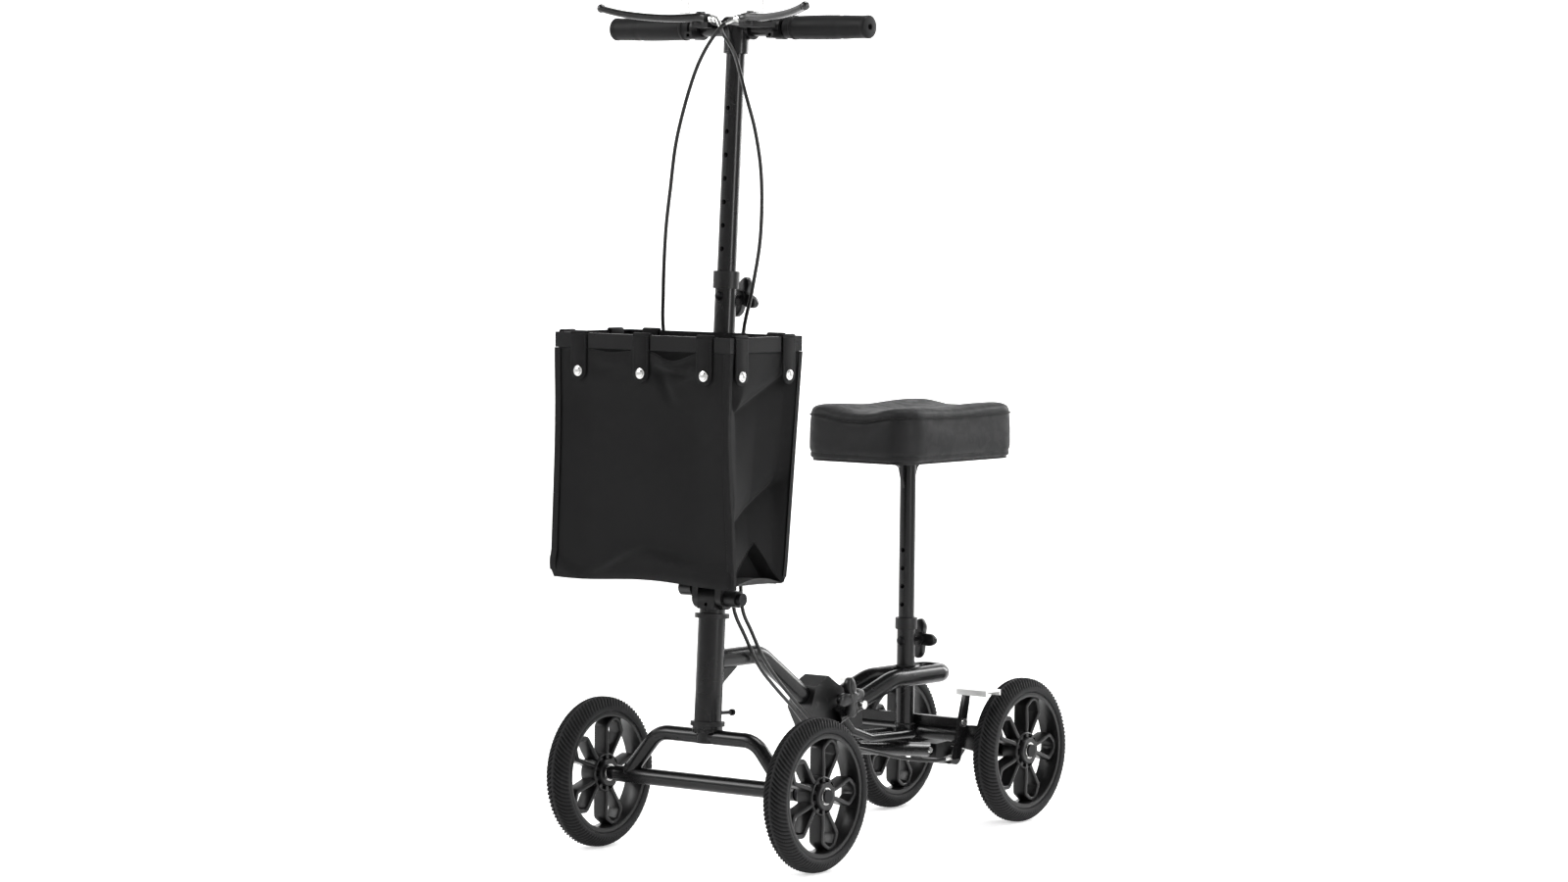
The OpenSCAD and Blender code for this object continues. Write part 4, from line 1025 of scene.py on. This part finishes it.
def straps():
    """Straps over the frame's bar, each closed by a snap on the bag."""
    cloth_v, cloth_f, snap_v, snap_f, rows = [], [], [], [], []
    places = [((x, BAG_FRONT - 0.3), (0, -1)) for x in (-104, 0, 104)]
    places += [((x, BAG_REAR + 0.3), (0, 1)) for x in (-104, 104)]
    places += [((way * 145.0, y), (way, 0)) for way in (1, -1) for y in (-122, -22)]
    for (x, y), (ox, oy) in places:
        out = Vector((ox, oy, 0))
        side = Vector((-oy, ox, 0))
        turn = [(-5.2, 681), (-5.4, 692), (-5.3, 698), (-4.4, 700.3), (-2.4, 701.0), (0.0, 700.9), (1.0,
                                                                                                    699.2),
                (1.3, 690), (1.3, 679), (1.2, 664), (1.25, 650), (1.3, 640), (1.35, 637)]
        path = smooth_path([at(x, y, 0) + (out * o + Vector((0, 0, z))) / 1000 for o, z in turn], 3)
        rings = []
        for i, p in enumerate(path):
            t = (path[min(i + 1, len(path) - 1)] - path[max(i - 1, 0)]).normalized()
            face = side.cross(t).normalized()
            if face.dot(out) < 0 and i > len(path) / 2:
                face = -face
            left = (path[-1] - p).length * 1000
            half = 13.0 if left > 13 or i < len(path) / 2 else max(3.0, sqrt(max(0, 169 - (13 - left) ** 2)))
            rings.append([p + side * a * half / 1000 + face * b * 0.00085 for a, b in
                          ((-1, -0.6), (-0.95, -1), (0.95, -1), (1, -0.6), (1, 0.6), (0.95, 1), (-0.95,
                                  1), (-1, 0.6))])
        v, f = skin(rings)
        cloth_f += [tuple(k + len(cloth_v) for k in face) for face in f]
        cloth_v += v
        where = at(x, y, 649) + out * 0.0021
        v, f = skin(snap_rings(where, out))
        snap_f += [tuple(k + len(snap_v) for k in face) for face in f]
        snap_v += v
        for edge in (-1, 1):
            rows.append([at(x, y, z) + (out * 2.25 + side * edge * 10.6) / 1000 for z in (694, 680, 664,
                                                                                          652)])
    fabric = piece("bag straps", cloth_v, cloth_f, "column", WEBBING, angle=35, merge=False)
    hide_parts("bag_straps")
    piece("bag snaps", snap_v, snap_f, "column", STEEL, angle=35, merge=False)
    repeated("strap stitching", rows, 3.4, STITCH, THREAD, "column")


straps()

# ---------------------------------------------------------------- weld beads

def bead_item():
    """One ripple of a weld."""
    rings = [[Vector((x, r * cos(2 * pi * k / 10), r * sin(2 * pi * k / 10))) / 1000 for k in range(10)]
             for x, r in ((-1.2, 0.2), (-0.9, 1.0), (0.0, 1.45), (0.9, 1.0), (1.2, 0.2))]
    verts, faces = skin(rings)
    mesh = bpy.data.meshes.new("weld ripple")
    mesh.from_pydata([tuple(v) for v in verts], [], faces)
    mesh.materials.append(PAINT.material)
    return bpy.data.objects.new("weld ripple", mesh)


def circle(centre, axis, radius, count=64):
    line = turned([(0, radius)], centre, axis, count)[0]
    return line + [line[0]]


def saddle(post, post_r, axis, tube_r, origin, count=72):
    """The line where a tube along axis from origin meets an upright post."""
    axis = Vector(axis).normalized()
    up = Vector(post).normalized()
    side = up.cross(axis).normalized()
    other = axis.cross(side)
    line = []
    for k in range(count + 1):
        a = 2 * pi * k / count
        off = side * tube_r * cos(a) + other * tube_r * sin(a)
        lift = sqrt(max(0.0, post_r ** 2 - (tube_r * cos(a)) ** 2))
        line.append(origin + (off + axis * (lift - off.dot(axis) + 0.4)) / 1000)
    return line


BEAD = bead_item()
welds = [saddle((0, sin(RAKE), cos(RAKE)), 18.3, (0, 1, 0), 12.7, at(0, (265 - STEER_Z) * tan(RAKE), 265))]
repeated("main tube weld", welds, 1.6, BEAD, PAINT, "frame")
ring_welds = [circle(at(0, 452, 141.2), (0, 0, 1), 12.9), circle(at(0, 452, 222.2), (0, 0, 1), 12.9)]
repeated("seat tube welds", ring_welds, 1.6, BEAD, PAINT, "frame")
fork_welds = [saddle((1, 0, 0), 11.0, (-way * 0.65, 0, 0.76), 10.0, at(way * 133.7, 0,
                                                                       AXLE_Z)) for way in (1, -1)]
repeated("arch welds", fork_welds, 1.6, BEAD, PAINT, "fork")

# ---------------------------------------------------------------- small turned pieces

def notched_collar():
    """The notched locking collar under the head tube."""
    rings = []
    for along, r, cut in ((29.5, 15.2, 0), (29.5, 20.0, 0), (30.3, 20.6, 1), (33.0, 20.6, 1), (33.6, 20.0,
            0), (33.6, 15.2, 0)):
        ring = []
        for k in range(120):
            a = 2 * pi * k / 120
            q = r - (1.6 if cut and (k % 10) < 4 else 0.0)
            ring.append(up_column(along, q * cos(a), q * sin(a)))
        rings.append(ring)
    verts, faces = skin(rings, closed=True)
    piece("notched collar", verts, faces, "fork", ALLOY, angle=25, merge=False)


notched_collar()

# ---------------------------------------------------------------- floor, light and camera

def studio():
    scene = bpy.context.scene
    mesh = bpy.data.meshes.new("floor")
    # a round cove with its wall on every side, wide enough to walk round the scooter
    reach, bend, tall, count = 9.0, 1.6, 7.0, 96
    profile = [(0.02, 0.0), (3.0, 0.0), (6.0, 0.0), (reach, 0.0)]
    profile += [(reach + bend * sin(a * pi / 24), bend * (1 - cos(a * pi / 24))) for a in range(1, 13)]
    profile.append((reach + bend, tall))
    verts = [Vector((r * cos(2 * pi * k / count), r * sin(2 * pi * k / count), z)) for r, z in profile
             for k in range(count)]
    faces = [(i * count + k, (i + 1) * count + k, (i + 1) * count + (k + 1) % count,
              i * count + (k + 1) % count)
             for i in range(len(profile) - 1) for k in range(count)]
    faces.append(tuple(range(count)))
    mesh.from_pydata([tuple(v) for v in verts], [], faces)
    mesh.shade_smooth()
    floor = bpy.data.objects.new("floor", mesh)
    scene.collection.objects.link(floor)
    f = Finish("studio floor", rough=0.85)
    f.feed("Base Color", f.blend(f.speckle(1.5, 2.0), (0.93, 0.93, 0.93), (0.96, 0.96, 0.96)))
    # the wall behind the scooter glows white, the one before it is dimmer
    x, y, z = f.split()
    behind = f.steps(0.5 + 0.05 * (0.8 * y - 0.6 * x), (0.56, 0.0), (0.80, 1.0))
    near = f.steps(0.05 * (x * x + y * y), (0.2, 1.0), (0.9, 0.0))
    f.feed("Emission Color", f.blend(behind, f.blend(near, (0.16, 0.16, 0.16), (0.5, 0.5, 0.5)), (1.0,
                                                                                                  1.0, 1.0)))
    f.shader.inputs["Emission Strength"].default_value = 0.9
    mesh.materials.append(f.material)

    world = bpy.data.worlds.new("studio air")
    scene.world = world
    world.use_nodes = True
    air = world.node_tree.nodes["Background"]
    air.inputs["Color"].default_value = (1, 1, 1, 1)
    air.inputs["Strength"].default_value = 0.08

    def softbox(name, place, target, wide, tall, power):
        light = bpy.data.lights.new(name, "AREA")
        light.shape, light.size, light.size_y, light.energy = "RECTANGLE", wide, tall, power
        obj = bpy.data.objects.new(name, light)
        obj.location = place
        obj.rotation_euler = (Vector(target) - Vector(place)).to_track_quat("-Z", "Y").to_euler()
        scene.collection.objects.link(obj)

    softbox("key", (-2.2, -2.6, 2.7), (0, 0, 0.5), 0.9, 2.6, 90)
    softbox("side strip", (3.0, -0.3, 1.6), (0, 0, 0.6), 0.5, 2.6, 55)
    softbox("top", (0.2, 0.5, 3.2), (0, 0, 0.4), 1.6, 1.6, 70)
    softbox("rim strip", (0.6, 3.0, 1.8), (0, 0, 0.6), 0.6, 2.4, 60)

    azimuth, tilt, roll = 0.64584, 0.05943, 0.010769
    back = Vector((sin(azimuth) * cos(tilt), -cos(azimuth) * cos(tilt), sin(tilt)))
    right = Vector((0, 0, 1)).cross(back).normalized()
    up = back.cross(right)
    right, up = right * cos(roll) + up * sin(roll), up * cos(roll) - right * sin(roll)
    lens = bpy.data.cameras.new("camera")
    lens.lens, lens.sensor_width, lens.clip_end = 108.39, 36.0, 100.0
    camera = bpy.data.objects.new("camera", lens)
    place = Matrix((right, up, back)).transposed().to_4x4()
    place.translation = at(3820.25, -4905.41, 926.54)
    camera.matrix_world = place
    scene.collection.objects.link(camera)
    scene.camera = camera
    scene.view_settings.view_transform = "Standard"
    scene.view_settings.look = "None"


studio()
